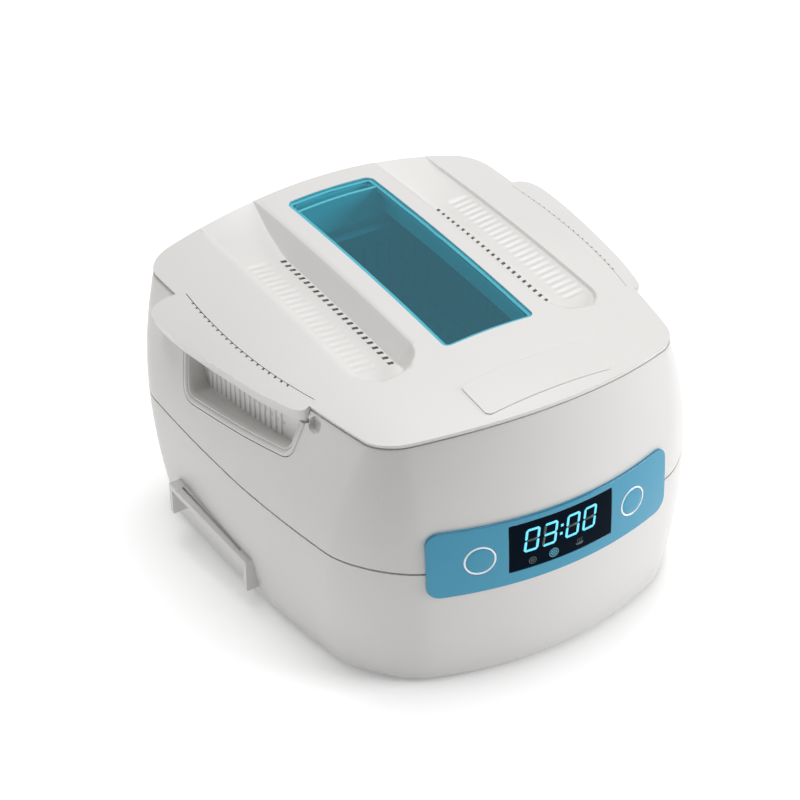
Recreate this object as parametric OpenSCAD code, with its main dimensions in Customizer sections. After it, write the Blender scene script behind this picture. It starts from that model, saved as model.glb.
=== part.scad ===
// Household ultrasonic cleaner: a pillow-shaped two-part housing around a
// stainless tank, with a lift-off lid, a slotted basket, a front display with
// two press keys, a fan-cooled base and carrying handles moulded in the sides.
// Origin: middle of the resting face. +Z up, the display faces -Y.

/* [Overall size] */
// Width of the housing across its middle
body_w = 256; // [230:1:300]
// Depth of the housing, front to back
body_d = 262; // [240:1:310]
// Height from the table to the crown of the lid
body_h = 174; // [165:1:200]
// Height of the joint line between base and upper housing
seam_h = 83; // [74:1:90]

/* [Outline] */
// How far the lid edge lies inside the widest outline at each side
top_in = 18; // [12:1:22]
// How far the lid edge lies inside the widest outline at the front
top_front_in = 11.5; // [8:0.5:14]
// How far the lid edge lies inside the widest outline at the back; below 0 it overhangs
top_back_in = -6; // [-8:0.5:3]
// How far the foot of the base lies inside the widest outline at each side
base_in = 6.5; // [4:0.5:10]
// How far the foot of the base lies inside the widest outline, front
base_front_in = 3.5; // [2:0.5:8]
// How far the foot of the base lies inside the widest outline, back
base_back_in = 12; // [4:0.5:14]
// Corner radius at the widest outline
corner_r = 37; // [28:1:48]
// Corner radius of the lid
lid_corner_r = 15; // [12:1:24]
// Bow of the front face, as a share of the half depth
front_bow = 0.225; // [0.1:0.005:0.26]
// Bow of the two sides, as a share of the half width
side_bow = 0.057; // [0.02:0.001:0.08]
// How much wider the back is than the front, as a share of the half width
taper = 0.09; // [0:0.005:0.1]
// Fall of the lid from its crown to each side edge
side_drop = 20; // [12:1:22]
// Fall of the lid from its crown to the front edge
end_drop = 4; // [2:0.5:6]

/* [Walls] */
// Wall of the housings
wall = 2.5; // [2:0.1:3]
// Thickness of the lid
lid_t = 2.6; // [2.2:0.1:3.2]
// Gap between pieces that move apart
gap = 0.4; // [0.3:0.05:0.6]

/* [Tank and basket] */
// Inside width of the tank
tank_w = 150; // [130:1:152]
// Inside length of the tank, front to back
tank_l = 190; // [160:1:192]
// Depth of the tank below its rim
tank_depth = 76; // [60:1:80]
// Middle of the tank, behind the middle of the housing
tank_y = 12; // [8:1:14]
// Sheet thickness of the tank
tank_t = 1; // [0.8:0.1:1.2]
// Height of the basket's sides
basket_h = 62; // [45:1:64]
// Wall of the basket
basket_t = 2; // [1.6:0.1:2.4]

/* [Lid details] */
// Width of the see-through window
window_w = 57; // [46:1:60]
// Length of the window
window_l = 173; // [140:1:176]
// Middle of the window, behind the middle of the housing
window_y = 34.5; // [30:0.5:35]
// Width of a finger groove
groove_w = 36; // [30:1:37]
// Distance from the middle of the lid to the middle of a groove
groove_x = 59; // [56:0.5:60]
// Depth of a groove along its level part
groove_depth = 11; // [8:0.5:14]
// Length over which a groove falls from the back edge of the lid
groove_ramp = 64; // [40:1:80]
// Vent slots in each groove
vent_count = 22; // [16:1:22]

/* [Control panel] */
// Middle of the display panel, sideways from the middle of the housing
panel_x = -4; // [-6:0.5:6]
// Width of the blue panel
panel_w = 153; // [140:1:156]
// Height of the blue panel
panel_h = 42; // [38:1:46]
// Height of the middle of the panel
panel_z = 87.5; // [84:0.5:90]
// Width of the display window
display_w = 65; // [56:1:68]
// Height of the display window
display_h = 30; // [26:0.5:32]
// Radius of a press key
key_r = 7.6; // [7:0.1:8.5]
// Distance from the middle of the panel to a key
key_x = 48.5; // [46:0.5:52]
// Travel of a press key
key_travel = 0.6; // [0.4:0.1:0.8]

/* [Base] */
// Side of the square cooling fan
fan_size = 50; // [40:1:50]
// Radius of a rubber foot
foot_r = 9; // [7:0.5:11]
// How far the feet stand out under the base
foot_h = 3; // [2:0.5:4]

/* [Hidden] */
eps = 0.01;
$fn = 48;
corner_steps = 6;
side_steps = 6;

// Outline sizes at three heights: foot of the base, widest line, lid edge
half_w = [body_w/2 - base_in, body_w/2, body_w/2 - top_in];
half_front = [body_d/2 - base_front_in, body_d/2, body_d/2 - top_front_in];
half_back = [body_d/2 - base_back_in, body_d/2, body_d/2 - top_back_in];
corner = [corner_r - 2, corner_r, lid_corner_r];
white = [0.92, 0.92, 0.91];
steel = [0.75, 0.76, 0.77];
blue = [0.20, 0.55, 0.70];

// Lid surface: a low dome, measured from the table
function crown(x, y) = body_h - side_drop*pow(x/half_w[2], 2) - end_drop*pow(y/half_front[2], 2);

// Weights of the three outlines at level v: 0 foot, 1 widest line, 2 lid edge
function weights(v) = [(v - 1)*(v - 2)/2, -v*(v - 2), v*(v - 1)/2];
function mix(v, s) = weights(v)*s;

// Rounded rectangle from half width a, front depth f, back depth k
function arc_points(cx, cy, r, a0) =
  [for (i = [0:corner_steps]) [cx + r*cos(a0 + 90*i/corner_steps), cy + r*sin(a0 + 90*i/corner_steps)]];
function round_rect(a, f, k, r) =
  let (c = [[a - r, k - r, 0], [r - a, k - r, 90], [r - a, r - f, 180], [a - r, r - f, 270]])
  [for (i = [0:3])
    let (s = arc_points(c[i].x, c[i].y, r, c[i].z), q = c[(i + 1)%4],
         e = [q.x + r*cos(q.z), q.y + r*sin(q.z)], l = s[corner_steps])
    each concat(s, [for (j = [1:side_steps - 1]) l + (e - l)*j/side_steps])];

// The rounded rectangle with its front and sides bowed outwards
function bowed(p, a, f, k) =
  let (v = p.y > 0 ? p.y/k : p.y/f, b = p.y > 0 ? 0 : front_bow)
  [p.x*(1 - side_bow*v*v + taper*v), p.y*(1 - b*pow(p.x/a, 2))];
function outline(v, off) =
  let (a = mix(v, half_w) - off, f = mix(v, half_front) - off, k = mix(v, half_back) - off,
       r = max(mix(v, corner) - off, 3))
  [for (p = round_rect(a, f, k, r)) bowed(p, a, f, k)];
function ring(v, off, dz = 0) =
  [for (p = outline(v, off)) [p.x, p.y, weights(v)*[foot_h, seam_h, crown(p.x, p.y) - lid_t] + dz]];
function dome_ring(off, share, drop) =
  [for (p = outline(2, off)*share) [p.x, p.y, crown(p.x, p.y) - drop]];

// Closed solid through a stack of rings, with a point in the middle of each end
module stack(rings, low, high) {
  n = len(rings[0]);
  m = len(rings);
  polyhedron(
    points = concat([for (r = rings) each r], [[0, 0, low], [0, 0, high]]),
    faces = concat(
      [for (i = [0:m - 2], j = [0:n - 1]) each
        [[i*n + j, (i + 1)*n + j, (i + 1)*n + (j + 1)%n], [i*n + j, (i + 1)*n + (j + 1)%n, i*n + (j + 1)%n]]],
      [for (j = [0:n - 1]) [m*n, j, (j + 1)%n]],
      [for (j = [0:n - 1]) [m*n + 1, (m - 1)*n + (j + 1)%n, (m - 1)*n + j]]),
    convexity = 6);
}
// Body between two levels, shrunk by off; the top follows the dome, drop below the lid face
module body_part(v0, v1, off, drop = lid_t, low = undef) {
  steps = [for (i = [0:5]) v0 + (v1 - v0)*i/5];
  domed = v1 == 2;
  sides = [for (v = steps) ring(v, off, domed && v == v1 ? lid_t - drop : 0)];
  caps = domed ? [for (s = [0.75, 0.5, 0.25]) dome_ring(off, s, drop)] : [];
  foot = is_undef(low) ? [] : [[for (p = sides[0]) [p.x, p.y, low]]];
  stack(concat(foot, sides, caps),
    is_undef(low) ? (v0 == 0 ? foot_h : v0 == 1 ? seam_h : sides[0][0].z) : low,
    domed ? crown(0, 0) - drop : v1 == 1 ? seam_h : sides[len(sides) - 1][0].z);
}
// Dome-shaped slab between two depths under the lid face, grown by off
module dome_slab(off, top, bottom) {
  shares = [1, 0.75, 0.5, 0.25];
  stack(concat([for (s = [0.25, 0.5, 0.75, 1]) dome_ring(off, s, bottom)], [for (s = shares) dome_ring(off, s, top)]),
    crown(0, 0) - bottom, crown(0, 0) - top);
}
module rounded_plan(w, l, r) {
  for (x = [-1, 1], y = [-1, 1]) translate([x*(w/2 - r), y*(l/2 - r)]) circle(r);
  square([w - 2*r, l], center = true);
  square([w, l - 2*r], center = true);
}
module rounded_block(w, l, h, r) { linear_extrude(h) rounded_plan(w, l, r); }
// Plan shape standing on the XZ plane, from the front face y0 back to y1
module front_prism(y0, y1) { translate([0, y1, 0]) rotate([90, 0, 0]) linear_extrude(y1 - y0) children(); }
// Shape drawn in Y and Z, standing from x0 to x1
module side_prism(x0, x1) { translate([x0, 0, 0]) rotate([90, 0, 90]) linear_extrude(x1 - x0) children(); }
module both_sides() { children(); mirror([1, 0, 0]) children(); }
module tube(r_out, r_in, h) {
  difference() {
    cylinder(r = r_out, h = h);
    translate([0, 0, -1]) cylinder(r = r_in, h = h + 2);
  }
}

// ---- places shared by several pieces ----
rim_gap = 0.3;
deck_drop = lid_t + 5.2;
rim_z = body_h - 36;
tank_top = rim_z - 1;
tank_floor = tank_top - tank_depth;
collar_w = tank_w + 10;
collar_l = tank_l + 10;
collar_wall = 2;
flange_out = 7;
gasket_t = 1;

// Front surface: where the bowed face lies at x, at the widest line, and its turn
face_half = half_w[1]*(1 - side_bow - taper);
function face_y(x) = -half_front[1]*(1 - front_bow*pow(x/face_half, 2));
function face_turn(x) = atan(2*front_bow*half_front[1]*x/pow(face_half, 2));
lens_out = 1.6;
lens_t = 3;
panel_r = 8;
lens_gap = 0.2;
display_gap = 0.15;
key_ring_w = 1;
key_gap = 0.15;

// Handles: the plate's plan, and the pocket under it seen from the side
handle_back = 94;
handle_front = -39;
handle_out = body_w/2 + 3.8;
plate_t = 10.5;
lid_side = half_w[2];
pocket_depth = 19;
cup_wall = 1.6;
rim_w = 3.2;
module handle_plan(grow = 0) {
  offset(delta = grow) polygon([
    [lid_side, handle_back], [lid_side + 8, handle_back + 4], [handle_out - 8, handle_back + 5],
    [handle_out - 3, handle_back + 3.5], [handle_out, handle_back - 6], [handle_out - 1.4, 61],
    [handle_out - 4.6, 37], [handle_out - 12, -7], [handle_out - 20, handle_front + 4], [handle_out - 23.5, handle_front],
    [lid_side - 9.5, handle_front], [lid_side - 4, -15], [lid_side - 1, 10], [lid_side + 1, 40], [lid_side + 1, 70]]);
}
module pocket_side(grow = 0) {
  hull() {
    for (p = [[56, 114.5], [-28, 130], [-30, 150], [72, 150]]) translate(p) circle(7 + grow);
  }
}
// What a handle takes out of the housing: everything outside this face
function pocket_face() = half_w[1] - pocket_depth;
// Base grips: a slotted ledge on end fins low on each side
grip_back = 70;
grip_front = -6;
grip_z = 41;
grip_fall = 9;
grip_t = 3.5;

module rim_opening(h, grow = 0) {
  translate([0, tank_y, h]) rounded_block(collar_w + 2*grow, collar_l + 2*grow, body_h, 14 + grow);
}

// ---- base ----
module base_cavity() { body_part(0, 1, wall, low = foot_h - 1); }
board_z = 11;
fan_x = -48;
fan_z = foot_h + 5 + fan_size/2;
fan_depth = 12;
inlet_x = 62;
inlet_z = 34;
inlet_w = 27.4;
inlet_h = 19.6;
inlet_y = half_back[0] + 6;
foot_places = [[half_w[0] - 16, -34], [half_w[0] - 16, 72]];
cover_inset = 9;
cover_t = 2.4;
screw_places = [[78, -78], [88, 82]];
screw_r = 1.8;
web_t = 2;
module foot_pockets() {
  both_sides() for (p = foot_places) translate([p.x, p.y, -1]) cylinder(r = foot_r + 0.2, h = foot_h + 4);
}
module base_housing() color(white) {
  difference() {
    union() {
      difference() {
        body_part(0, 1, 0);
        base_cavity();
      }
      intersection() {
        body_part(0, 1, 0);
        union() {
          both_sides() for (p = foot_places) translate([p.x, p.y, foot_h]) cylinder(r = foot_r + 2, h = 7);
          // screw bosses, each on a web from the side wall
          both_sides() for (p = screw_places) translate([p.x, p.y, foot_h + cover_t + 0.1]) {
            cylinder(r = 4.5, h = 20);
            translate([0, -web_t/2, 0]) cube([half_w[0], web_t, 20]);
          }
          difference() {
            translate([0, 0, foot_h]) linear_extrude(cover_t) polygon(outline(0, 1));
            translate([0, 0, foot_h - 1]) linear_extrude(cover_t + 2) polygon(outline(0, cover_inset));
          }
        }
      }
    }
    foot_pockets();
    both_sides() for (p = screw_places) translate([p.x, p.y, 0]) cylinder(r = screw_r + 0.1, h = 22);
    front_prism(-body_d, 0) translate([panel_x, panel_z]) rounded_plan(panel_w + 2*lens_gap, panel_h + 2*lens_gap, panel_r);
    // exhaust slots behind the fan
    for (i = [-4:4]) translate([fan_x + i*4.8 - 1.3, 80, fan_z - 19]) cube([2.6, 80, 38]);
    // mains inlet
    translate([inlet_x - inlet_w/2 - 0.2, 80, inlet_z - inlet_h/2 - 0.2]) cube([inlet_w + 0.4, 80, inlet_h + 0.4]);
    both_sides() grip_ledge(0.1);
  }
}
module bottom_cover() color([0.30, 0.31, 0.32]) {
  difference() {
    translate([0, 0, foot_h]) linear_extrude(cover_t) polygon(outline(0, cover_inset + 0.4));
    both_sides() for (p = foot_places) translate([p.x, p.y, 0]) cylinder(r = foot_r + 2.4, h = 20);
    both_sides() for (p = screw_places) translate([p.x, p.y, 0]) cylinder(r = screw_r + 0.3, h = 20);
    // intake louvres
    for (i = [-7:7]) translate([i*7 - 1.5, -25, 0]) cube([3, 50, 20]);
  }
}
module rubber_feet() color([0.35, 0.35, 0.36]) {
  both_sides() for (p = foot_places) translate([p.x, p.y, 0]) cylinder(r = foot_r, h = foot_h + 3);
}
module cover_screws() color(steel) {
  both_sides() for (p = screw_places) translate([p.x, p.y, foot_h - 1.6]) {
    cylinder(r = 3.2, h = 1.6);
    cylinder(r = screw_r, h = 18);
  }
}
module grip_ledge(grow = 0) {
  difference() {
    hull() {
      translate([half_w[1] - 14, grip_back - 8, grip_z - grip_t]) cube([25 + grow, 8, grip_t + 2*grow]);
      translate([half_w[1] - 14, grip_front, grip_z - grip_fall - grip_t]) cube([16 + grow, 8, grip_t + 2*grow]);
    }
    translate([0, 0, -50]) linear_extrude(200) polygon(outline(0.35, 1.2));
  }
}
module base_grip() {
  difference() {
    union() {
      grip_ledge();
      for (p = [[grip_back - 3.5, grip_z, 11], [grip_front, grip_z - grip_fall, 2]])
        translate([half_w[1] - 14, p[0], p[1] - 21]) cube([14 + p[2], 3.5, 20]);
    }
    body_part(0, 1, -0.05);
    // air slit between the two rails
    hull() {
      translate([half_w[1] + 5.4, grip_back - 9, 0]) cube([1.4, 1, 80]);
      translate([half_w[1] - 1, grip_front + 10, 0]) cube([1.4, 1, 80]);
    }
  }
}
module base_grip_left() color(white) mirror([1, 0, 0]) base_grip();
module base_grip_right() color(white) base_grip();

// ---- upper housing ----
module upper_housing() color(white) {
  difference() {
    union() {
      difference() {
        body_part(1, 2, 0, lid_t + rim_gap);
        body_part(1, 2, wall, deck_drop + wall, low = seam_h - 1);
        // the lid's seat, one step below the rim
        dome_seat();
      }
      difference() {
        intersection() {
          rim_opening(rim_z, collar_wall);
          body_part(1, 2, 1, deck_drop);
        }
        rim_opening(0);
      }
      // floor lip that the tank flange is clamped against
      difference() {
        translate([0, tank_y, rim_z]) rounded_block(collar_w + 2*collar_wall, collar_l + 2*collar_wall, 2, 16);
        translate([0, tank_y, rim_z - 1]) rounded_block(tank_w + 4, tank_l + 4, 4, 12);
      }
    }
    rim_opening(rim_z + 2);
    front_prism(-body_d, -80) translate([panel_x, panel_z])
      rounded_plan(panel_w + 2*lens_gap, panel_h + 2*lens_gap, panel_r);
    both_sides() handle_cut();
    // thumb notches for lifting the lid
    both_sides() translate([half_w[2] - 30, handle_front - 8, crown(half_w[2] - 6, handle_front) - lid_t])
      rotate([0, 90, 0]) cylinder(r = 5, h = 60);
  }
}
module dome_seat() {
  dome_slab(wall, -2, deck_drop);
}
module handle_cut() {
  intersection() {
    linear_extrude(body_h) handle_plan(0.3);
    dome_slab(-40, -20, plate_t + 0.3);
  }
  side_prism(pocket_face() - cup_wall - 0.1, body_w) pocket_side(rim_w + 0.2);
}
module handle() {
  difference() {
    union() {
      intersection() {
        translate([0, 0, seam_h]) linear_extrude(body_h) handle_plan();
        dome_slab(-40, 0, plate_t);
      }
      intersection() {
        side_prism(pocket_face() - cup_wall, body_w) pocket_side(rim_w);
        difference() {
          body_part(1, 2, -1.2, 8);
          body_part(1, 2, 3, 12, low = seam_h - 5);
        }
      }
    }
    side_prism(pocket_face() - cup_wall, handle_out + 20) pocket_cut();
    side_prism(pocket_face() - cup_wall - 5, pocket_face() + 12) pocket_side(cup_wall + 0.1);
  }
}
module pocket_cut() {
  difference() {
    pocket_side();
    translate([-60, crown(handle_out, 60) - plate_t + 2]) square([200, 60]);
  }
}
module handle_left() color(white) mirror([1, 0, 0]) handle();
module handle_right() color(white) handle();
module finger_cup() {
  difference() {
    side_prism(pocket_face() - cup_wall, pocket_face() + 11.5) pocket_side(cup_wall);
    side_prism(pocket_face(), pocket_face() + 20) pocket_side();
    dome_slab(-60, -60, plate_t + 1);
  }
  for (i = [0:21]) translate([pocket_face() - 0.2, 50 - i*3.9, 122]) cube([1.4, 1.4, 14]);
}
module finger_cup_left() color(white) mirror([1, 0, 0]) finger_cup();
module finger_cup_right() color(white) finger_cup();

// ---- tank, seals, transducers ----
module tank() color(steel) {
  difference() {
    union() {
      translate([0, tank_y, tank_floor - tank_t]) rounded_block(tank_w + 2*tank_t, tank_l + 2*tank_t, tank_depth + tank_t, 12 + tank_t);
      translate([0, tank_y, tank_top - gasket_t - tank_t]) rounded_block(tank_w + 2*flange_out, tank_l + 2*flange_out, tank_t, 14);
    }
    translate([0, tank_y, tank_floor]) rounded_block(tank_w, tank_l, tank_depth + 5, 12);
  }
}
module tank_gasket() color([0.85, 0.86, 0.86]) {
  difference() {
    translate([0, tank_y, tank_top - gasket_t]) rounded_block(tank_w + 2*flange_out, tank_l + 2*flange_out, gasket_t + 1, 14);
    translate([0, tank_y, 0]) rounded_block(tank_w + 2*tank_t + 0.4, tank_l + 2*tank_t + 0.4, body_h, 13.2);
  }
}
transducer_places = [[-26, tank_y - 44], [-26, tank_y + 40]];
horn_h = 16;
piezo_h = 5;
mass_h = 12;
horn_z = tank_floor - tank_t - horn_h;
piezo_z = horn_z - 2*piezo_h - 0.6;
mass_z = piezo_z - mass_h;
bolt_r = 4;
module at_transducers(z) { for (p = transducer_places) translate([p.x, p.y, z]) children(); }
module transducer_horns() color([0.78, 0.79, 0.80]) {
  at_transducers(horn_z) difference() {
    cylinder(r1 = 17, r2 = 21, h = horn_h, $fn = 64);
    translate([0, 0, -1]) cylinder(r = bolt_r, h = 11);
  }
}
module piezo_rings() color([0.25, 0.26, 0.27]) {
  at_transducers(piezo_z) for (i = [0, 1]) translate([0, 0, i*(piezo_h + 0.6)]) tube(17, 7, piezo_h);
}
module transducer_masses() color([0.55, 0.56, 0.58]) { at_transducers(mass_z) tube(17, bolt_r, mass_h); }
module transducer_bolts() color(steel) {
  at_transducers(mass_z) {
    cylinder(r = bolt_r, h = mass_h + 2*piezo_h + 8);
    translate([0, 0, -5]) cylinder(r = 6.5, h = 5, $fn = 6);
  }
}
module heater_pad() color([0.75, 0.35, 0.15]) {
  translate([20, tank_y - 70, tank_floor - tank_t - 1.5]) cube([45, 140, 1.5]);
}
module thermal_switch() color([0.2, 0.2, 0.21]) {
  translate([0, tank_y - 2, tank_floor - tank_t - 7]) cylinder(r = 8, h = 7);
}

// ---- electronics in the base ----
board = [66, 132, 1.6];
board_at = [26, -72, board_z];
module power_board() color([0.08, 0.35, 0.18]) {
  translate(board_at) difference() {
    cube(board);
    for (x = [5, board.x - 5], y = [5, board.y - 5]) translate([x, y, -1]) cylinder(r = 1.6, h = 4);
  }
}
module board_standoffs() color([0.8, 0.7, 0.3]) {
  translate(board_at) for (x = [5, board.x - 5], y = [5, board.y - 5])
    translate([x, y, foot_h + cover_t - board_z]) {
      cylinder(r = 3, h = board_z - foot_h - cover_t, $fn = 6);
      cylinder(r = 1.5, h = board_z - foot_h - cover_t + board.z + 2);
    }
}
module transformer() color([0.45, 0.32, 0.12]) {
  translate([board_at.x + 14, board_at.y + 84, board_z + board.z]) {
    difference() {
      cube([36, 32, 28]);
      for (x = [8, 22]) translate([x, -1, 6]) cube([6, 34, 16]);
    }
    translate([9.5, -4, 7]) cube([3, 40, 14]);
    translate([23.5, -4, 7]) cube([3, 40, 14]);
  }
}
module heat_sink() color([0.70, 0.71, 0.72]) {
  translate([board_at.x + 8, board_at.y + 12, board_z + board.z]) {
    cube([4, 46, 24]);
    for (i = [0:5]) translate([4 - eps, i*8.8, 0]) cube([12, 1.6, 24]);
  }
}
module capacitors() color([0.15, 0.18, 0.35]) {
  for (p = [[38, 20], [38, 40], [52, 60]])
    translate([board_at.x + p[0], board_at.y + p[1], board_z + board.z]) cylinder(r = 7, h = 26);
}
fan_y = half_back[0] - wall - 6 - fan_depth;
module fan_frame() color([0.12, 0.12, 0.13]) {
  translate([fan_x, fan_y + fan_depth, fan_z]) rotate([90, 0, 0]) difference() {
    union() {
      difference() {
        translate([-fan_size/2, -fan_size/2, 0]) cube([fan_size, fan_size, fan_depth]);
        translate([0, 0, -1]) cylinder(r = fan_size/2 - 1.5, h = fan_depth + 2);
      }
      for (a = [0:3]) rotate(a*90 + 45) translate([0, -1.2, 0]) cube([fan_size/2 - 0.5, 2.4, 1.6]);
      cylinder(r = 9, h = 1.6);
      cylinder(r = 1.5, h = 8);
    }
    for (x = [-1, 1], y = [-1, 1]) translate([x*(fan_size/2 - 4), y*(fan_size/2 - 4), -1]) cylinder(r = 1.8, h = fan_depth + 2);
  }
}
blade_count = 7;
module fan_rotor() color([0.16, 0.16, 0.17]) {
  translate([fan_x, fan_y + fan_depth, fan_z]) rotate([90, 0, 0]) difference() {
    union() {
      translate([0, 0, 2.2]) cylinder(r = 9.5, h = fan_depth - 3.2);
      for (i = [0:blade_count - 1]) rotate(i*360/blade_count) translate([8.5, 0, 6.6])
        rotate([35, 0, 0]) translate([0, -5, -0.6]) cube([fan_size/2 - 12, 10, 1.2]);
    }
    cylinder(r = 1.55, h = 8.6);
  }
}
module power_inlet() color([0.08, 0.08, 0.09]) {
  translate([inlet_x, inlet_y, inlet_z]) difference() {
    translate([-inlet_w/2, -24, -inlet_h/2]) cube([inlet_w, 24, inlet_h]);
    translate([-inlet_w/2 + 2, -17, -inlet_h/2 + 2]) cube([inlet_w - 4, 30, inlet_h - 4]);
    for (x = [-7, 0, 7]) translate([x - 1.05, -30, x == 0 ? 0.95 : -3.05]) cube([2.1, 40, 4.1]);
  }
}
module inlet_pins() color(steel) {
  translate([inlet_x, inlet_y, inlet_z]) for (x = [-7, 0, 7])
    translate([x - 1, -29, x == 0 ? 1 : -3]) cube([2, 23, 4]);
}

// ---- control panel ----
module face_shell(outer, inner) {
  difference() {
    face_body(outer);
    face_body(inner);
  }
}
// Front of the body only, as one smooth wall that crosses the joint line
module face_body(off) {
  rings = [for (v = [0.5, 0.7, 0.85, 1, 1.15, 1.3, 1.5]) ring(v, off)];
  stack(rings, rings[0][0].z, crown(0, 0));
}
module panel_blank(grow = 0) {
  front_prism(-body_d, -60) translate([panel_x, panel_z]) rounded_plan(panel_w + 2*grow, panel_h + 2*grow, panel_r);
}
module display_blank(grow = 0) {
  front_prism(-body_d, -60) translate([panel_x, panel_z + 2.3]) square([display_w + 2*grow, display_h + 2*grow], center = true);
}
key_places = [panel_x - key_x, panel_x + key_x];
module at_key(x, depth) {
  translate([x, face_y(x), panel_z]) rotate([0, 0, face_turn(x)]) rotate([-90, 0, 0]) translate([0, 0, depth]) children();
}
module panel_lens() color(blue) {
  difference() {
    intersection() {
      panel_blank();
      face_shell(-lens_out, lens_t - lens_out);
    }
    display_blank(display_gap);
    for (x = key_places) at_key(x, -10) cylinder(r = key_r + key_gap + key_ring_w + 0.1, h = 25);
  }
}
module display_window() color([0.02, 0.03, 0.05]) {
  intersection() {
    display_blank();
    face_shell(-lens_out, lens_t - lens_out);
  }
}
module key_rings() color([0.9, 0.95, 0.98]) {
  for (x = key_places) at_key(x, -lens_out) tube(key_r + key_gap + key_ring_w, key_r + key_gap, lens_t);
}
stem_l = 8;
switch_h = 3.2;
switch_gap = key_travel + 0.2;
stem_clear = 0.6;
control_y = max([for (x = key_places) face_y(x)]) + stem_l + lens_t - lens_out + stem_clear + switch_gap + switch_h;
// How far a key's stem reaches in along the key's axis, from the face
function stem_reach(x) = (control_y - switch_h - switch_gap - stem_clear - face_y(x))/cos(face_turn(x));
module press_key(x) {
  at_key(x, -lens_out) {
    cylinder(r = key_r, h = lens_t + 1);
    translate([0, 0, lens_t]) cylinder(r = 2.2, h = stem_reach(x) - lens_t + lens_out);
  }
}
module key_left() color(blue) press_key(key_places[0]);
module key_right() color(blue) press_key(key_places[1]);
module control_board() color([0.08, 0.35, 0.18]) {
  translate([panel_x - 62, control_y, panel_z - 17]) cube([124, 1.6, 34]);
}
module_w = 54;
module_y = max([for (s = [-1, 1]) face_y(panel_x + s*module_w/2)]) + lens_t - lens_out + 2;
module display_module() color([0.10, 0.10, 0.11]) {
  translate([panel_x - module_w/2, module_y, panel_z - 9]) cube([module_w, control_y - module_y - 0.02, 24]);
}
module key_switches() color([0.75, 0.73, 0.68]) {
  for (x = key_places)
    translate([x - stem_reach(x)*sin(face_turn(x)) - 3, control_y - switch_h, panel_z - 3]) cube([6, switch_h, 6]);
}

// ---- basket ----
basket_w = tank_w - 4;
basket_l = tank_l - 4;
basket_rim = 3;
basket_top = rim_z + 2.2 + 2.2;
basket_floor = basket_top - basket_h;
slot_w = 3;
slot_pitch = 9;
module slot_rows(len) {
  n = floor((len - 24)/slot_pitch);
  for (i = [0:n], z = [8, 33]) translate([(i - n/2)*slot_pitch - slot_w/2, z]) square([slot_w, 20]);
}
module basket() color([0.86, 0.87, 0.88]) {
  translate([0, tank_y, basket_floor]) difference() {
    union() {
      rounded_block(basket_w, basket_l, basket_h, 11);
      translate([0, 0, basket_h - 2]) rounded_block(basket_w + 2*basket_rim + 2, basket_l + 2*basket_rim + 2, 2, 12);
    }
    translate([0, 0, basket_t]) rounded_block(basket_w - 2*basket_t, basket_l - 2*basket_t, basket_h + 5, 9);
    translate([0, basket_l, 0]) rotate([90, 0, 0]) linear_extrude(2*basket_l) slot_rows(basket_w);
    translate([-basket_w, 0, 0]) rotate([90, 0, 90]) linear_extrude(2*basket_w) slot_rows(basket_l);
    for (x = [-5:5], y = [-7:7]) translate([x*11.5, y*11.5, -1]) cylinder(r = 2.6, h = 5, $fn = 8);
  }
}

// ---- lid ----
groove_front = -54;
groove_r = groove_w/2;
groove_back = half_back[2] + 1;
function groove_floor(y) = crown(groove_x, y) - groove_depth*min(1, (groove_back - y)/groove_ramp);
module groove_plan(grow) {
  translate([groove_x, groove_front + groove_r]) circle(groove_r + grow);
  translate([groove_x - groove_r - grow, groove_front + groove_r]) square([groove_w + 2*grow, groove_back - groove_front]);
}
// Space above the sloping groove floor, lowered by drop
module above_floor(drop) {
  side_prism(groove_x - 40, groove_x + 40) polygon(concat(
    [for (y = [groove_front - 6, groove_front + 40, groove_back - groove_ramp, groove_back - groove_ramp/2, groove_back, groove_back + 10])
      [y, groove_floor(y) - drop]],
    [[groove_back + 10, body_h + 30], [groove_front - 6, body_h + 30]]));
}
module groove_void(grow, drop) {
  intersection() {
    linear_extrude(body_h + 20) groove_plan(grow);
    above_floor(drop);
  }
}
skirt_t = 2;
skirt_drop = 17;
window_ledge = 1.8;
window_lap = 3;
frame_t = 1.8;
frame_drop = 18;
skirt_w = collar_w - 2*gap;
skirt_l = collar_l - 2*gap;
module inside_skirt() {
  translate([0, tank_y, 0]) rounded_block(skirt_w - 2*skirt_t, skirt_l - 2*skirt_t, body_h + 40, 12);
}
module lid_skirt() {
  difference() {
    translate([0, tank_y, rim_z + 9]) rounded_block(skirt_w, skirt_l, 40, 13.5);
    inside_skirt();
  }
}
module window_blank(grow = 0) {
  translate([0, window_y, 0]) linear_extrude(body_h + 20) rounded_plan(window_w + 2*grow, window_l + 2*grow, 4 + grow);
}
badge = [79, 27];
badge_y = -96;
module badge_blank(grow = 0) {
  translate([0, badge_y, 0]) linear_extrude(body_h + 20) rounded_plan(badge.x + 2*grow, badge.y + 2*grow, 3);
}
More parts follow.
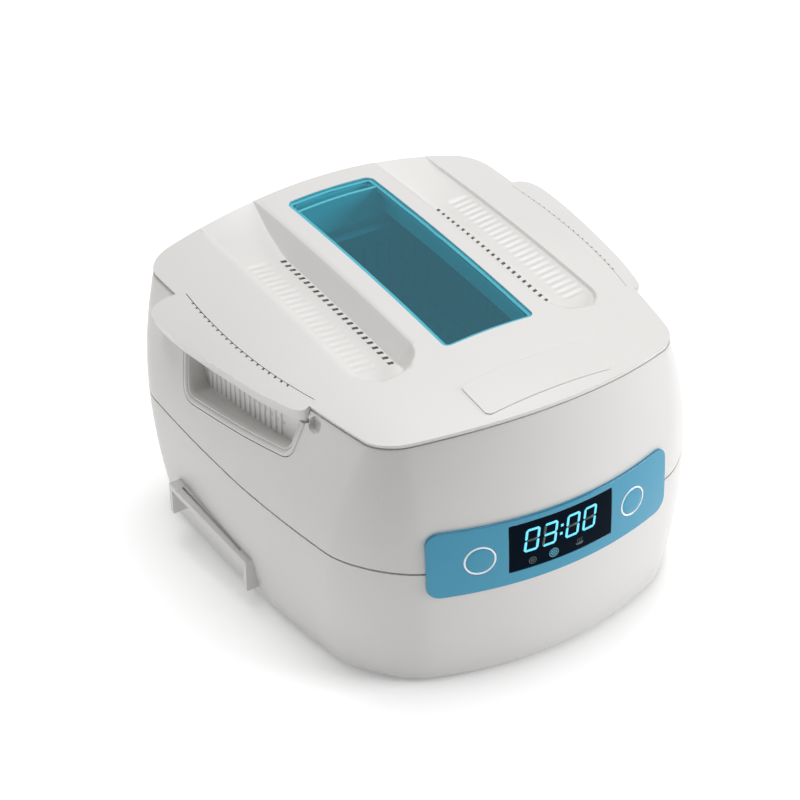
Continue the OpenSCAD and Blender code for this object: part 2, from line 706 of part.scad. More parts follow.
module lid_shell() color(white) {
  difference() {
    union() {
      dome_slab(0, 0, lid_t);
      intersection() {
        union() {
          lid_skirt();
          intersection() {
            both_sides() groove_void(lid_t, lid_t);
            linear_extrude(body_h) polygon(outline(2, wall + gap));
          }
          // ledge that carries the window, and a frame wall below it
          intersection() {
            window_blank(window_lap);
            dome_slab(0, 0, frame_drop);
          }
        }
        lid_zone();
      }
    }
    both_sides() groove_void(0, 0);
    window_blank(-window_lap);
    intersection() {
      window_blank(window_lap - frame_t);
      dome_slab(0, lid_t + window_ledge, skirt_drop + 30);
      inside_skirt();
    }
    intersection() {
      window_blank(0.2);
      dome_slab(0, -5, lid_t);
    }
    both_sides() translate([0, 0, seam_h]) linear_extrude(body_h) handle_plan(gap);
    // badge seat
    intersection() {
      badge_blank(0.15);
      dome_slab(0, -5, 1);
    }
    // vent slots at the inner side of each groove
    both_sides() for (i = [0:vent_count - 1])
      translate([groove_x - 8, groove_front + 14 + i*5.3, rim_z]) cube([5.5, 2, 60]);
  }
}
// Space under the lid that its hanging walls may fill
module lid_zone() {
  difference() {
    dome_slab(0.5, 0.5, skirt_drop + 10);
    difference() {
      dome_slab(-20, -30, 60);
      dome_slab(-20, 0, deck_drop - gap);
      rim_opening(0, -0.9*gap);
    }
  }
}
module lid_window() color([0.25, 0.65, 0.82, 0.6]) {
  intersection() {
    window_blank(0);
    dome_slab(0.2, 0.2, lid_t - gasket_drop - 0.5);
  }
}
gasket_drop = 0.5;
module window_gasket() color([0.80, 0.82, 0.83]) {
  difference() {
    intersection() {
      window_blank(-0.3);
      dome_slab(0.2, lid_t - gasket_drop, lid_t - 0.04);
    }
    window_blank(-2.5);
  }
}
module lid_badge() color([0.93, 0.93, 0.92]) {
  intersection() {
    badge_blank();
    dome_slab(0.2, -0.7, 1);
  }
}
// Room for the facets of the two domes to differ
seal_gap = 0.5;
module lid_seal() color([0.75, 0.77, 0.78]) {
  difference() {
    intersection() {
      linear_extrude(body_h) polygon(outline(2, wall + 1.5));
      dome_slab(0, lid_t + seal_gap, deck_drop - gap);
    }
    linear_extrude(body_h + 5) polygon(outline(2, wall + 4.5));
    both_sides() translate([0, 0, seam_h]) linear_extrude(body_h) handle_plan(3);
    both_sides() groove_void(lid_t + 1, lid_t + 2);
    window_blank(window_lap + gap);
  }
}

base_housing();
upper_housing();
bottom_cover();
rubber_feet();
tank();
tank_gasket();
transducer_horns();
piezo_rings();
transducer_masses();
transducer_bolts();
heater_pad();
thermal_switch();
power_board();
transformer();
heat_sink();
capacitors();
board_standoffs();
fan_frame();
fan_rotor();
power_inlet();
inlet_pins();
cover_screws();
control_board();
display_module();
key_switches();
panel_lens();
display_window();
key_rings();
key_left();
key_right();
handle_left();
handle_right();
finger_cup_left();
finger_cup_right();
base_grip_left();
base_grip_right();
basket();
lid_shell();
lid_window();
window_gasket();
lid_badge();
lid_seal();
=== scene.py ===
import math

import bmesh
import bpy
import numpy as np
from mathutils import Matrix, Vector


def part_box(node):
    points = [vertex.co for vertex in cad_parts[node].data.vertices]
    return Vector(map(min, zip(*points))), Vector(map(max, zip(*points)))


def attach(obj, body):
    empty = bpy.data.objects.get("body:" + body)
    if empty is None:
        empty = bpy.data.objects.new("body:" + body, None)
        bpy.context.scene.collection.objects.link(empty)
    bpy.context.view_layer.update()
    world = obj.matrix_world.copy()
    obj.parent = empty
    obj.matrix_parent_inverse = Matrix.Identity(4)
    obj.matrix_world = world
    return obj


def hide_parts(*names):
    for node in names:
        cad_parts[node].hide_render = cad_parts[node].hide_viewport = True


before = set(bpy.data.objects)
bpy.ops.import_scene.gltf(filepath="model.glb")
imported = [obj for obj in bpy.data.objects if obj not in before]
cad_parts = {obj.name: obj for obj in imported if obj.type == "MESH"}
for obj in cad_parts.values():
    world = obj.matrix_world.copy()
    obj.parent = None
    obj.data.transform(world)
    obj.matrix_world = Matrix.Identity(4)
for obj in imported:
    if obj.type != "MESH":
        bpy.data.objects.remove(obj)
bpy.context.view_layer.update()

MM = 0.001


# ---- base housing ----
# The lower half of the body: one thin injection-moulded ABS shell, pillow-shaped, that
# stands on rubber feet and carries the boards. The upper half is screwed down on it.

# Outline of the body at the foot, at the widest line and at the lid edge, in millimetres
FOOT_Z = 3.0
SEAM_Z = 83.0
CROWN_Z = 1000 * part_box("lid_shell")[1][2]
HALF_W = np.array([121.5, 128.0, 110.0])
HALF_FRONT = np.array([127.5, 131.0, 119.5])
HALF_BACK = np.array([119.0, 131.0, 137.0])
CORNER_R = np.array([35.0, 37.0, 15.0])
FRONT_BOW = 0.225
SIDE_BOW = 0.057
TAPER = 0.09
SIDE_DROP = 20.0
END_DROP = 4.0
LID_T = 2.6
CORNER_SHARE = 0.4


def crown(x, y):
    """Height of the lid's dome: the crown less a parabola in x and a weaker one in y."""
    return CROWN_Z - SIDE_DROP * (x / HALF_W[2]) ** 2 - END_DROP * (y / HALF_FRONT[2]) ** 2


def level_weights(v):
    """The three weights of a parabola through level 0, the foot, 1, the widest line, and 2, the lid edge."""
    return (v - 1) * (v - 2) / 2, -v * (v - 2), v * (v - 1) / 2


def corner_centre(i, a, front, back, r):
    """Centre of the i-th corner circle: r in from each side, counted anticlockwise from the back right."""
    i = i % 4
    return np.where((i == 0) | (i == 3), a - r, r - a), np.where(i < 2, back - r, r - front)


def rounded_loop(u, a, front, back, r):
    """A rounded rectangle walked once for u from 0 to 4: each unit is a quarter circle, then a side."""
    k = np.floor(u).astype(int) % 4
    t = u - np.floor(u)
    turn = np.radians(90.0 * k + 90.0 * np.minimum(t / CORNER_SHARE, 1))
    m = np.clip((t - CORNER_SHARE) / (1 - CORNER_SHARE), 0, 1)
    cx, cy = corner_centre(k, a, front, back, r)
    nx, ny = corner_centre(k + 1, a, front, back, r)
    return cx + r * np.cos(turn) + (nx - cx) * m, cy + r * np.sin(turn) + (ny - cy) * m


def bowed(x, y, a, front, back):
    """Bows a rounded rectangle: x shrinks with y squared and grows with y, and at the front
    y shrinks with x squared."""
    v = np.where(y > 0, y / back, y / front)
    return x * (1 - SIDE_BOW * v**2 + TAPER * v), y * (1 - np.where(y > 0, 0, FRONT_BOW) * (x / a) ** 2)


def body_point(u, v, inset=0.0):
    """A point on the housing: the bowed outline whose sizes are blended by the level v, drawn in by inset."""
    w0, w1, w2 = level_weights(v)
    a, front, back, r = [w0 * s[0] + w1 * s[1] + w2 * s[2] for s in (HALF_W, HALF_FRONT, HALF_BACK, CORNER_R)]
    x, y = rounded_loop(u, a - inset, front - inset, back - inset, np.maximum(r - inset, 3))
    x, y = bowed(x, y, a - inset, front - inset, back - inset)
    return np.stack([x, y, w0 * FOOT_Z + w1 * SEAM_Z + w2 * (crown(x, y) - LID_T)], -1)


def make_piece(name, points, faces, body, replaces=(), smooth=40):
    """A mesh from points in millimetres and a face list, riding on a body; edges past smooth degrees are crisp."""
    mesh = bpy.data.meshes.new(name)
    mesh.from_pydata((np.asarray(points, float) * MM).tolist(), [], faces)
    mesh.validate()
    mesh.shade_smooth()
    mesh.set_sharp_from_angle(angle=math.radians(smooth))
    piece = bpy.data.objects.new(name, mesh)
    bpy.context.collection.objects.link(piece)
    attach(piece, body)
    if replaces:
        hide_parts(*replaces)
    return piece


def grid_faces(rows, cols, closed=False, keep=None, start=0):
    """Quads between neighbouring rows and columns of a grid, wrapping round the columns when closed."""
    last = cols if closed else cols - 1
    i, j = np.meshgrid(np.arange(rows - 1), np.arange(last), indexing="ij")
    k = (j + 1) % cols
    quads = np.stack([i * cols + j, i * cols + k, (i + 1) * cols + k, (i + 1) * cols + j], -1) + start
    return (quads[keep] if keep is not None else quads.reshape(-1, 4)).tolist()


def drop_loose(points, faces):
    """The same faces over only the points that they use."""
    used = np.unique([k for f in faces for k in f])
    renumber = np.full(len(points), -1)
    renumber[used] = np.arange(len(used))
    return np.asarray(points)[used], [[int(renumber[k]) for k in f] for f in faces]


def thicken(piece, wall, edge=0.0, offset=-1.0, sharp=50):
    """Gives a sheet its wall, inwards for offset -1, and rounds its edges by edge millimetres."""
    solid = piece.modifiers.new("wall", "SOLIDIFY")
    solid.thickness = wall * MM
    solid.offset = offset
    solid.use_even_offset = True
    solid.use_quality_normals = True
    if edge:
        round_edges(piece, edge, sharp)
    return piece


def round_edges(piece, edge, sharp=50, segments=2):
    """A live bevel on the edges sharper than an angle, with its normals weighted by face area."""
    bevel = piece.modifiers.new("edge", "BEVEL")
    bevel.width = edge * MM
    bevel.segments = segments
    bevel.limit_method = "ANGLE"
    bevel.angle_limit = math.radians(sharp)
    bevel.harden_normals = True
    return piece


def moulded_plastic(name, colour, roughness=0.36, grain=0.03, shade=0.03, grain_size=2600):
    """Moulded plastic: a fine spark-eroded grain in the bump, a slow drift in tone, and uneven gloss."""
    mat = bpy.data.materials.new(name)
    mat.use_nodes = True
    nodes, links = mat.node_tree.nodes, mat.node_tree.links
    shader = nodes["Principled BSDF"]
    place = nodes.new("ShaderNodeTexCoord")
    drift = nodes.new("ShaderNodeTexNoise")
    drift.inputs["Scale"].default_value = 9
    drift.inputs["Detail"].default_value = 3
    links.new(place.outputs["Object"], drift.inputs["Vector"])
    ramp = nodes.new("ShaderNodeValToRGB")
    ramp.color_ramp.elements[0].position = 0.3
    ramp.color_ramp.elements[1].position = 0.7
    ramp.color_ramp.elements[0].color = [c * (1 - shade) for c in colour] + [1]
    ramp.color_ramp.elements[1].color = [min(c * (1 + shade * 0.4), 1) for c in colour] + [1]
    links.new(drift.outputs["Fac"], ramp.inputs["Fac"])
    links.new(ramp.outputs["Color"], shader.inputs["Base Color"])
    fine = nodes.new("ShaderNodeTexNoise")
    fine.inputs["Scale"].default_value = grain_size
    fine.inputs["Detail"].default_value = 2
    links.new(place.outputs["Object"], fine.inputs["Vector"])
    bump = nodes.new("ShaderNodeBump")
    bump.inputs["Strength"].default_value = grain
    bump.inputs["Distance"].default_value = 0.0004
    links.new(fine.outputs["Fac"], bump.inputs["Height"])
    links.new(bump.outputs["Normal"], shader.inputs["Normal"])
    gloss = nodes.new("ShaderNodeMapRange")
    gloss.inputs["To Min"].default_value = roughness - 0.04
    gloss.inputs["To Max"].default_value = roughness + 0.06
    links.new(drift.outputs["Fac"], gloss.inputs["Value"])
    links.new(gloss.outputs["Result"], shader.inputs["Roughness"])
    return mat


def tune(mat, **values):
    """Sets inputs of a material's main shader, with _ in place of spaces in their names."""
    for key, value in values.items():
        mat.node_tree.nodes["Principled BSDF"].inputs[key.replace("_", " ")].default_value = value


def paint(piece, *materials):
    """Puts the materials in the piece's slots, for a new piece or a carried-over node alike."""
    piece.data.materials.clear()
    for mat in materials:
        piece.data.materials.append(mat)
    return piece


white_abs = moulded_plastic("white_abs", (0.70, 0.69, 0.675))
grey_abs = moulded_plastic("grey_abs", (0.075, 0.078, 0.082), roughness=0.5, grain=0.1)

PANEL_W = 153.0
PANEL_X = -4.0
PANEL_H = 42.0
PANEL_Z = 87.5
PANEL_R = 8.0
HOLE_MARGIN = 2.5
ROUND_COUNT = 4 * 72
BASE_WALL = 2.4
BASE_EDGE = 0.35


def rectangle_depth(x, z, w, h, r):
    """Signed distance from a rounded rectangle's edge, negative inside it."""
    dx = np.abs(x) - w / 2 + r
    dz = np.abs(z) - h / 2 + r
    return np.hypot(np.maximum(dx, 0), np.maximum(dz, 0)) + np.minimum(np.maximum(dx, dz), 0) - r


def behind_panel(p):
    """True for points of the housing that the blue panel covers."""
    depth = rectangle_depth(p[..., 0] - PANEL_X, p[..., 2] - PANEL_Z, PANEL_W, PANEL_H, PANEL_R)
    return (depth < -HOLE_MARGIN) & (p[..., 1] < 0)


def cell_middles(p):
    """The middle of each grid cell, wrapping round the columns."""
    q = np.roll(p, -1, axis=1)
    return (p[:-1] + q[:-1] + p[1:] + q[1:]) / 4


INLET = np.array(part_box("power_inlet")) / MM
FAN = np.array(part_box("fan_frame")) / MM
FAN_SLOT_PITCH = 4.8
FAN_SLOT_W = 2.6
FAN_SLOTS = np.arange(-4, 5)
FAN_SLOT_HALF_H = 19
INLET_HALF_W = 13
INLET_HALF_H = 9


def base_openings(p):
    """True for cells of the base that are open: behind the panel, at the mains inlet, at the exhaust slots."""
    x, y, z = p[..., 0], p[..., 1], p[..., 2]
    inlet = (np.abs(x - INLET[:, 0].mean()) < INLET_HALF_W) & (np.abs(z - INLET[:, 2].mean()) < INLET_HALF_H)
    fan_x, fan_z = FAN[:, 0].mean(), FAN[:, 2].mean()
    near = (np.abs(x - fan_x) < 4.6 * FAN_SLOT_PITCH) & (np.abs(z - fan_z) < FAN_SLOT_HALF_H)
    phase = (x - fan_x) / FAN_SLOT_PITCH
    slot = np.abs(phase - np.round(phase)) * FAN_SLOT_PITCH < FAN_SLOT_W / 2
    return behind_panel(p) | ((inlet | (near & slot)) & (y > 0))


def back_columns():
    """Places round the outline, with extra columns on the back face at the edges of the exhaust slots."""
    u = np.arange(ROUND_COUNT) * 4 / ROUND_COUNT
    a = HALF_W[0] * 0.6 + HALF_W[1] * 0.4
    r = CORNER_R[0]
    widen = 1 - SIDE_BOW + TAPER
    half = FAN_SLOT_W / FAN_SLOT_PITCH / 2
    edges = FAN[:, 0].mean() + np.array([(i + s * half) * FAN_SLOT_PITCH for i in FAN_SLOTS for s in (-1, 1)])
    share = (a - r - edges / widen) / (2 * (a - r))
    extra = CORNER_SHARE + (1 - CORNER_SHARE) * share
    clear = np.min(np.abs(u[:, None] - extra[None, :]), axis=1) > 0.006
    inside = (u > extra.min()) & (u < extra.max())
    return np.sort(np.concatenate([u[clear & ~inside], extra]))


BASE_LOW = 0.012
BASE_TOP = 0.990
FOOT_ROUND = 2.5
FOOT_SINK = 0.4
base_u = back_columns()
foot_turn = np.linspace(0, 1, 5)[:-1] * math.pi / 2
rows = [body_point(base_u, BASE_LOW, FOOT_ROUND * (1 - math.sin(t)))
        + [0, 0, -FOOT_ROUND * (1 - (1 - math.cos(t))) * 0.35 - FOOT_SINK] for t in foot_turn]
rows += [body_point(base_u, v) for v in np.linspace(0.02, BASE_TOP, 46)]
base_grid = np.stack(rows)
shell_faces = grid_faces(len(base_grid), len(base_u), True, ~base_openings(cell_middles(base_grid)))
base_points, base_faces = drop_loose(base_grid.reshape(-1, 3), shell_faces)
base_shell = make_piece("base_shell", base_points, base_faces, "housing", ["base_housing"])
thicken(base_shell, BASE_WALL, BASE_EDGE)
paint(base_shell, white_abs)


# ---- upper housing ----
# The upper half of the body: an ABS shell with the lid's seat and a deep collar round the
# tank mouth, all one moulding. It sits on the base with a fine shadow line between them.

RIM_GAP = 0.3
SEAT_DROP = 5.2
COLLAR_Z = CROWN_Z - 36
TANK = np.array(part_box("tank")) / MM
TANK_Y = TANK[:, 1].mean()
COLLAR_HALF_W = 80.0
COLLAR_HALF_L = 100.0
COLLAR_R = 14.0
POCKET_POINTS = [(56.0, 114.5), (-28.0, 130.0), (-30.0, 150.0), (72.0, 150.0)]
POCKET_R = 7.0


def capsule_hull_depth(y, z, points, r):
    """Signed distance from a convex polygon grown by r, negative inside it; the points run clockwise."""
    depth = np.full(np.shape(y), -1e9)
    outside = np.full(np.shape(y), 1e9)
    for (y0, z0), (y1, z1) in zip(points, points[1:] + points[:1]):
        dy, dz = y1 - y0, z1 - z0
        length = math.hypot(dy, dz)
        side = ((y - y0) * -dz + (z - z0) * dy) / length
        along = np.clip(((y - y0) * dy + (z - z0) * dz) / length**2, 0, 1)
        outside = np.minimum(outside, np.hypot(y - y0 - along * dy, z - z0 - along * dz))
        depth = np.maximum(depth, side)
    return np.where(depth > 0, outside, depth) - r


def side_at_level(y, v):
    """The right side face's x and height at y and level v: the rounded rectangle's side, then its bow, found by
    iteration."""
    w0, w1, w2 = level_weights(v)
    a, front, back, r = [w0 * q[0] + w1 * q[1] + w2 * q[2] for q in (HALF_W, HALF_FRONT, HALF_BACK, CORNER_R)]
    flat_y = y
    for _ in range(10):
        half = np.where(flat_y > 0, back, front)
        past = np.clip(np.abs(flat_y) - (half - r), 0, r)
        flat_x = a - r + np.sqrt(r**2 - past**2)
        flat_y = np.where(y > 0, y, y / (1 - FRONT_BOW * (flat_x / a) ** 2))
    share = flat_y / half
    x = flat_x * (1 - SIDE_BOW * share**2 + TAPER * share)
    return x, w0 * FOOT_Z + w1 * SEAM_Z + w2 * (crown(x, y) - LID_T)


def side_x(y, z, lift=0.0):
    """The side face's x at a place in side view, its level found from z by halving."""
    y, z = np.broadcast_arrays(np.asarray(y, float), np.asarray(z, float))
    low, high = np.full(y.shape, 0.3), np.full(y.shape, 2.0)
    for _ in range(24):
        v = (low + high) / 2
        below = side_at_level(y, v)[1] < z
        low, high = np.where(below, v, low), np.where(below, high, v)
    return side_at_level(y, (low + high) / 2)[0] + lift


NOTCH_Y = -46.5
NOTCH_Z = 146.8
NOTCH_R = 4.7
NOTCH_SIDE = 90.0
RIM_W = 3.2
RIM_CLEAR = 0.35
FAR = 50.0


def pocket_gap(p):
    """Distance from the pocket's rim in side view, positive where the wall stays."""
    return capsule_hull_depth(p[..., 1], p[..., 2], POCKET_POINTS, POCKET_R + RIM_W + RIM_CLEAR)


def panel_gap(p):
    """Distance from the opening behind the panel in front view, positive where the wall stays."""
    w, h = PANEL_W - 2 * HOLE_MARGIN, PANEL_H - 2 * HOLE_MARGIN
    depth = rectangle_depth(p[..., 0] - PANEL_X, p[..., 2] - PANEL_Z, w, h, PANEL_R)
    return np.where(p[..., 1] < 0, depth, FAR)


def notch_gap(p):
    """Distance from the thumb notch's circle in side view, positive where the wall stays."""
    away = np.hypot(p[..., 1] - NOTCH_Y, p[..., 2] - NOTCH_Z) - NOTCH_R
    return np.where(np.abs(p[..., 0]) > NOTCH_SIDE, away, FAR)


def tank_mouth(u, grow, z):
    """The rounded rectangle of the tank mouth, grown outwards, at a height."""
    half_l = COLLAR_HALF_L + grow
    x, y = rounded_loop(u, COLLAR_HALF_W + grow, half_l, half_l, max(COLLAR_R + grow, 2))
    return np.stack([x, y + TANK_Y, np.broadcast_to(z, x.shape)], -1)


COARSE_STEP = 3.0
SNAP_SHARE = 0.3


def snap_to(points, moved, depth):
    """Slides the chosen points along the gradient of depth until they lie on its zero line."""
    h = 0.05
    for _ in range(4):
        x, y = points[moved, 0], points[moved, 1]
        d = depth(x, y)
        gx = (depth(x + h, y) - depth(x - h, y)) / (2 * h)
        gy = (depth(x, y + h) - depth(x, y - h)) / (2 * h)
        size = np.maximum(gx**2 + gy**2, 1e-6)
        points[moved, 0] -= d * gx / size
        points[moved, 1] -= d * gy / size


def crossings(start, end, depth):
    """Where depth is zero on each of many short lines, by halving."""
    rising = depth(*start.T) < 0
    low, high = np.where(rising[:, None], start, end), np.where(rising[:, None], end, start)
    for _ in range(26):
        middle = (low + high) / 2
        below = (depth(*middle.T) < 0)[:, None]
        low, high = np.where(below, middle, low), np.where(below, high, middle)
    return (low + high) / 2


def least_of(depths):
    """One depth from several: the least of them, positive only where all are."""
    return lambda px, py: np.min([one(px, py) for one in depths], axis=0)


def cell_sides(p):
    """The corners of each grid cell, in order round it."""
    return [p[:-1, :-1], p[:-1, 1:], p[1:, 1:], p[1:, :-1]]


def woven(p, across, along):
    """Corners and edge points of each grid cell in turn round it, one row of eight for each cell."""
    edges = [across[:-1], along[:, 1:], across[1:], along[:, :-1]]
    return np.stack([q for pair in zip(cell_sides(p), edges) for q in pair], -1).reshape(-1, 8)


def trimmed_sheet(xs, ys, depths):
    """A flat grid kept where every depth is positive: points near the edge slide on to it, and crossed cells
    are cut."""
    depth = least_of(depths)
    x, y = np.meshgrid(xs, ys)
    rows, cols = x.shape
    points = np.stack([x.ravel(), y.ravel()], -1)
    d = depth(points[:, 0], points[:, 1])
    room = np.minimum(np.minimum(*np.meshgrid(np.gradient(xs), np.gradient(ys))), COARSE_STEP).ravel()
    on = np.abs(d) < SNAP_SHARE * room
    snap_to(points, on, depth)
    d = np.where(on, 0, d)
    grid = np.arange(rows * cols).reshape(rows, cols)
    kept = (on | (d > 0)).reshape(rows, cols)
    total = rows * cols
    edge_sets = []
    for start, end in ((grid[:, :-1], grid[:, 1:]), (grid[:-1], grid[1:])):
        cut = d[start] * d[end] < 0
        index = np.full(start.shape, -1)
        index[cut] = total + np.arange(cut.sum())
        total += cut.sum()
        points = np.concatenate([points, crossings(points[start[cut]], points[end[cut]], depth)])
        edge_sets.append((index, cut))
    (across, across_cut), (along, along_cut) = edge_sets
    loops = woven(grid, across, along)
    used = woven(kept, across_cut, along_cut)
    strict = np.any(cell_sides(d.reshape(rows, cols) > 0), axis=0).ravel()
    middle = ((points[grid[:-1, :-1]] + points[grid[1:, 1:]]) / 2).reshape(-1, 2)
    whole = (used.sum(1) >= 3) & (strict | (depth(*middle.T) > 0))
    return drop_loose(points, [loop[use].tolist() for loop, use in zip(loops[whole], used[whole])])


def merge_close(piece, distance=1e-6):
    """Merges points that lie on each other and turns the faces of a sheet one way, upwards."""
    work = bmesh.new()
    work.from_mesh(piece.data)
    bmesh.ops.remove_doubles(work, verts=work.verts, dist=distance)
    bmesh.ops.recalc_face_normals(work, faces=work.faces)
    work.faces.ensure_lookup_table()
    if sum(f.normal.z * f.calc_area() for f in work.faces) < 0:
        bmesh.ops.reverse_faces(work, faces=work.faces)
    work.to_mesh(piece.data)
    work.free()
    piece.data.shade_smooth()


WALL_U = 70.0
WALL_V = 60.0
WALL_COLS = 480
WALL_ROWS = 80
WALL_LOW = 1.006
TOP_ROW = 1.9999
UPPER_WALL = 1.4
NOTCH_SIDES = 32


def wall_rule(gap):
    """A keep-or-cut rule for points of the housing, read in the outline and level coordinates of its wall."""
    return lambda px, py: gap(body_point(px / WALL_U, py / WALL_V))


upper_u = np.arange(WALL_COLS) * 4 / WALL_COLS
wall_uv, wall_faces = trimmed_sheet(
    np.linspace(0, 4, WALL_COLS + 1) * WALL_U, np.linspace(WALL_LOW, 2, WALL_ROWS) * WALL_V,
    [wall_rule(pocket_gap), wall_rule(panel_gap), wall_rule(notch_gap)])
wall_points = body_point(wall_uv[:, 0] / WALL_U, wall_uv[:, 1] / WALL_V)
wall_points[:, 2] -= RIM_GAP * (wall_uv[:, 1] > TOP_ROW * WALL_V)
top = body_point(upper_u, 2.0) - [0, 0, RIM_GAP]
rim = body_point(upper_u, 2.0, 2.4) - [0, 0, RIM_GAP]
seat = body_point(upper_u, 2.0, 2.6) - [0, 0, SEAT_DROP]
mouth = tank_mouth(upper_u, 2.2, 0)
deck = [seat + (mouth - seat) * share for share in np.linspace(0, 1, 12)]
for row in deck:
    row[:, 2] = crown(row[:, 0], row[:, 1]) - LID_T - SEAT_DROP
lip = tank_mouth(upper_u, 0, 0)
lip[:, 2] = deck[-1][:, 2] - 1.5
collar = [lip + [0, 0, 1] * (COLLAR_Z + 2 - lip[:, 2:]) * share for share in np.linspace(0, 1, 6)]
ledge = [tank_mouth(upper_u, -share, COLLAR_Z + 1.6) for share in (0.4, 3.0)]
upper_grid = np.stack([top, rim] + deck + collar + ledge)
upper_faces = wall_faces + grid_faces(len(upper_grid), WALL_COLS, True, start=len(wall_points))
upper_points = np.concatenate([wall_points, upper_grid.reshape(-1, 3)])
upper_shell = make_piece("upper_shell", upper_points, upper_faces, "housing", ["upper_housing"])
merge_close(upper_shell, 2e-5)
upper_shell.data.set_sharp_from_angle(angle=math.radians(40))
thicken(upper_shell, UPPER_WALL, 0.3)
paint(upper_shell, white_abs)

# The thumb notches: a round dish behind the hole in each side
turn = np.linspace(0, 2 * math.pi, NOTCH_SIDES + 1)[:-1]
for tag, side in (("left", -1), ("right", 1)):
    dish = []
    for r, sink in ((NOTCH_R + 0.3, 0.9), (NOTCH_R + 0.1, 3.6), (NOTCH_R * 0.6, 4.2), (0.0, 4.2)):
        y, z = NOTCH_Y + r * np.cos(turn), NOTCH_Z + r * np.sin(turn)
        dish.append(np.column_stack([side * side_x(y, z, -sink), y, z]))
    dish_faces = grid_faces(len(dish), NOTCH_SIDES, True)
    notch = make_piece("thumb_notch_" + tag, np.concatenate(dish), dish_faces, "housing")
    merge_close(notch, 1e-5)
    paint(thicken(notch, 0.8), white_abs)

# The locating lip behind the joint line
tongue = np.stack([body_point(upper_u, v, 2.6) for v in (0.95, 0.98, 1.02, 1.05)])
tongue_faces = grid_faces(len(tongue), WALL_COLS, True)
seam_tongue = make_piece("seam_tongue", tongue.reshape(-1, 3), tongue_faces, "housing")
paint(thicken(seam_tongue, 1.2), white_abs)


# ---- lid ----
# The loose lid: an arched ABS plate with two deep finger grooves beside a central bridge,
# a hanging skirt that centres it in the tank mouth, and vent slots at the foot of each groove.

GROOVE_X = 59.0
GROOVE_HALF = 18.0
GROOVE_FRONT = -54.0
GROOVE_BACK = HALF_BACK[2] + 1
GROOVE_DEPTH = 11.0
GROOVE_RAMP = 57.0
LIP_STEP = 1.9
VALLEY = 8.0
WALL_SLOPE = 1.35
END_SLOPE = 2.6
EDGE_ROUND = 0.15
CREASE_SOFT = 0.12
WINDOW_HALF_W = 28.5
WINDOW_HALF_L = 86.5
WINDOW_Y = 34.5
SLOT_COUNT = 24
SLOT_PITCH = 5.3
SLOT_HALF = 1.15
SLOT_START = GROOVE_FRONT + 15
SLOT_MARGIN = 0.4
FINE_STEP = 1.3
NOTCH_CLEAR = 0.2
HANDLE_BACK = 94.3
HANDLE_FRONT = -39.0


def groove_depth_at(x, y):
    """Signed distance from the groove's rim, negative inside: a strip open to the back, half-round in front."""
    dx = np.abs(np.abs(x) - GROOVE_X)
    dy = np.minimum(y - (GROOVE_FRONT + GROOVE_HALF), 0)
    return np.where(dy < 0, np.hypot(dx, dy), dx) - GROOVE_HALF


def lid_outline_depth(x, y):
    """Signed distance from the lid's bowed outline, positive inside, measured with the bow undone."""
    a, front, back, r = HALF_W[2], HALF_FRONT[2], HALF_BACK[2], CORNER_R[2]
    x0, y0 = x, y
    for _ in range(8):
        v = np.where(y0 > 0, y0 / back, y0 / front)
        x0 = x / (1 - SIDE_BOW * v**2 + TAPER * v)
        y0 = y / (1 - np.where(y > 0, 0, FRONT_BOW) * np.minimum(x0 / a, 1.05) ** 2)
    middle = (back - front) / 2
    return -rectangle_depth(x0, y0 - middle, 2 * a, back + front, r)


HANDLE_INNER = np.array([(109.6, 94.0), (110.9, 76.0), (111.5, 51.0), (110.5, 28.0),
                         (108.4, 6.0), (105.1, -18.7), (102.7, -29.0), (100.3, -38.5)])


def handle_edge(y, points):
    """Where the handle's long edge lies at y: a smooth curve through its few points."""
    order = np.argsort(points[:, 1])
    return np.polyval(np.polyfit(points[order, 1], points[order, 0], 3), y)


def lid_notch_depth(x, y):
    """Positive where the lid stays, negative where the handle plates sit in its side notches."""
    beside = handle_edge(y, HANDLE_INNER) - NOTCH_CLEAR - np.abs(x)
    return np.maximum(beside, np.maximum(y - HANDLE_BACK, HANDLE_FRONT - y))


def line_set(low, high, fixed, fine, coarse=COARSE_STEP, step=FINE_STEP):
    """Grid lines from low to high: the fixed ones, and others at a fine or coarse step kept clear of them."""
    lines = sorted(set(fixed + [low, high]))
    filled = []
    for start, end in zip(lines, lines[1:]):
        middle = (start + end) / 2
        size = step if any(a <= middle <= b for a, b in fine) else coarse
        count = max(int(round((end - start) / size)), 1)
        filled += list(np.linspace(start, end, count + 1)[:-1])
    return np.array(filled + [high])


def window_depth(x, y):
    """Positive outside the window opening."""
    return rectangle_depth(x, y - WINDOW_Y, 2 * WINDOW_HALF_W + 0.3, 2 * WINDOW_HALF_L + 0.3, 4)


slot_edges = (-SLOT_HALF - SLOT_MARGIN, -SLOT_HALF, SLOT_HALF, SLOT_HALF + SLOT_MARGIN)
slot_lines = [SLOT_START + i * SLOT_PITCH + s for i in range(SLOT_COUNT) for s in slot_edges]
GROOVE_IN = GROOVE_X - GROOVE_HALF
GROOVE_OUT = GROOVE_X + GROOVE_HALF
side_lines = [WINDOW_HALF_W, GROOVE_IN, GROOVE_OUT]
xs = line_set(-120.0, 120.0, [s * v for v in side_lines for s in (-1, 1)] + [0.0],
              [(GROOVE_IN, GROOVE_OUT), (-GROOVE_OUT, -GROOVE_IN)])
ys = line_set(-120.0, HALF_BACK[2], slot_lines + [WINDOW_Y - WINDOW_HALF_L, WINDOW_Y + WINDOW_HALF_L],
              [(GROOVE_FRONT - 3, GROOVE_FRONT + GROOVE_HALF + 2)])
flat, lid_faces = trimmed_sheet(xs, ys, [lid_outline_depth, groove_depth_at, window_depth, lid_notch_depth])


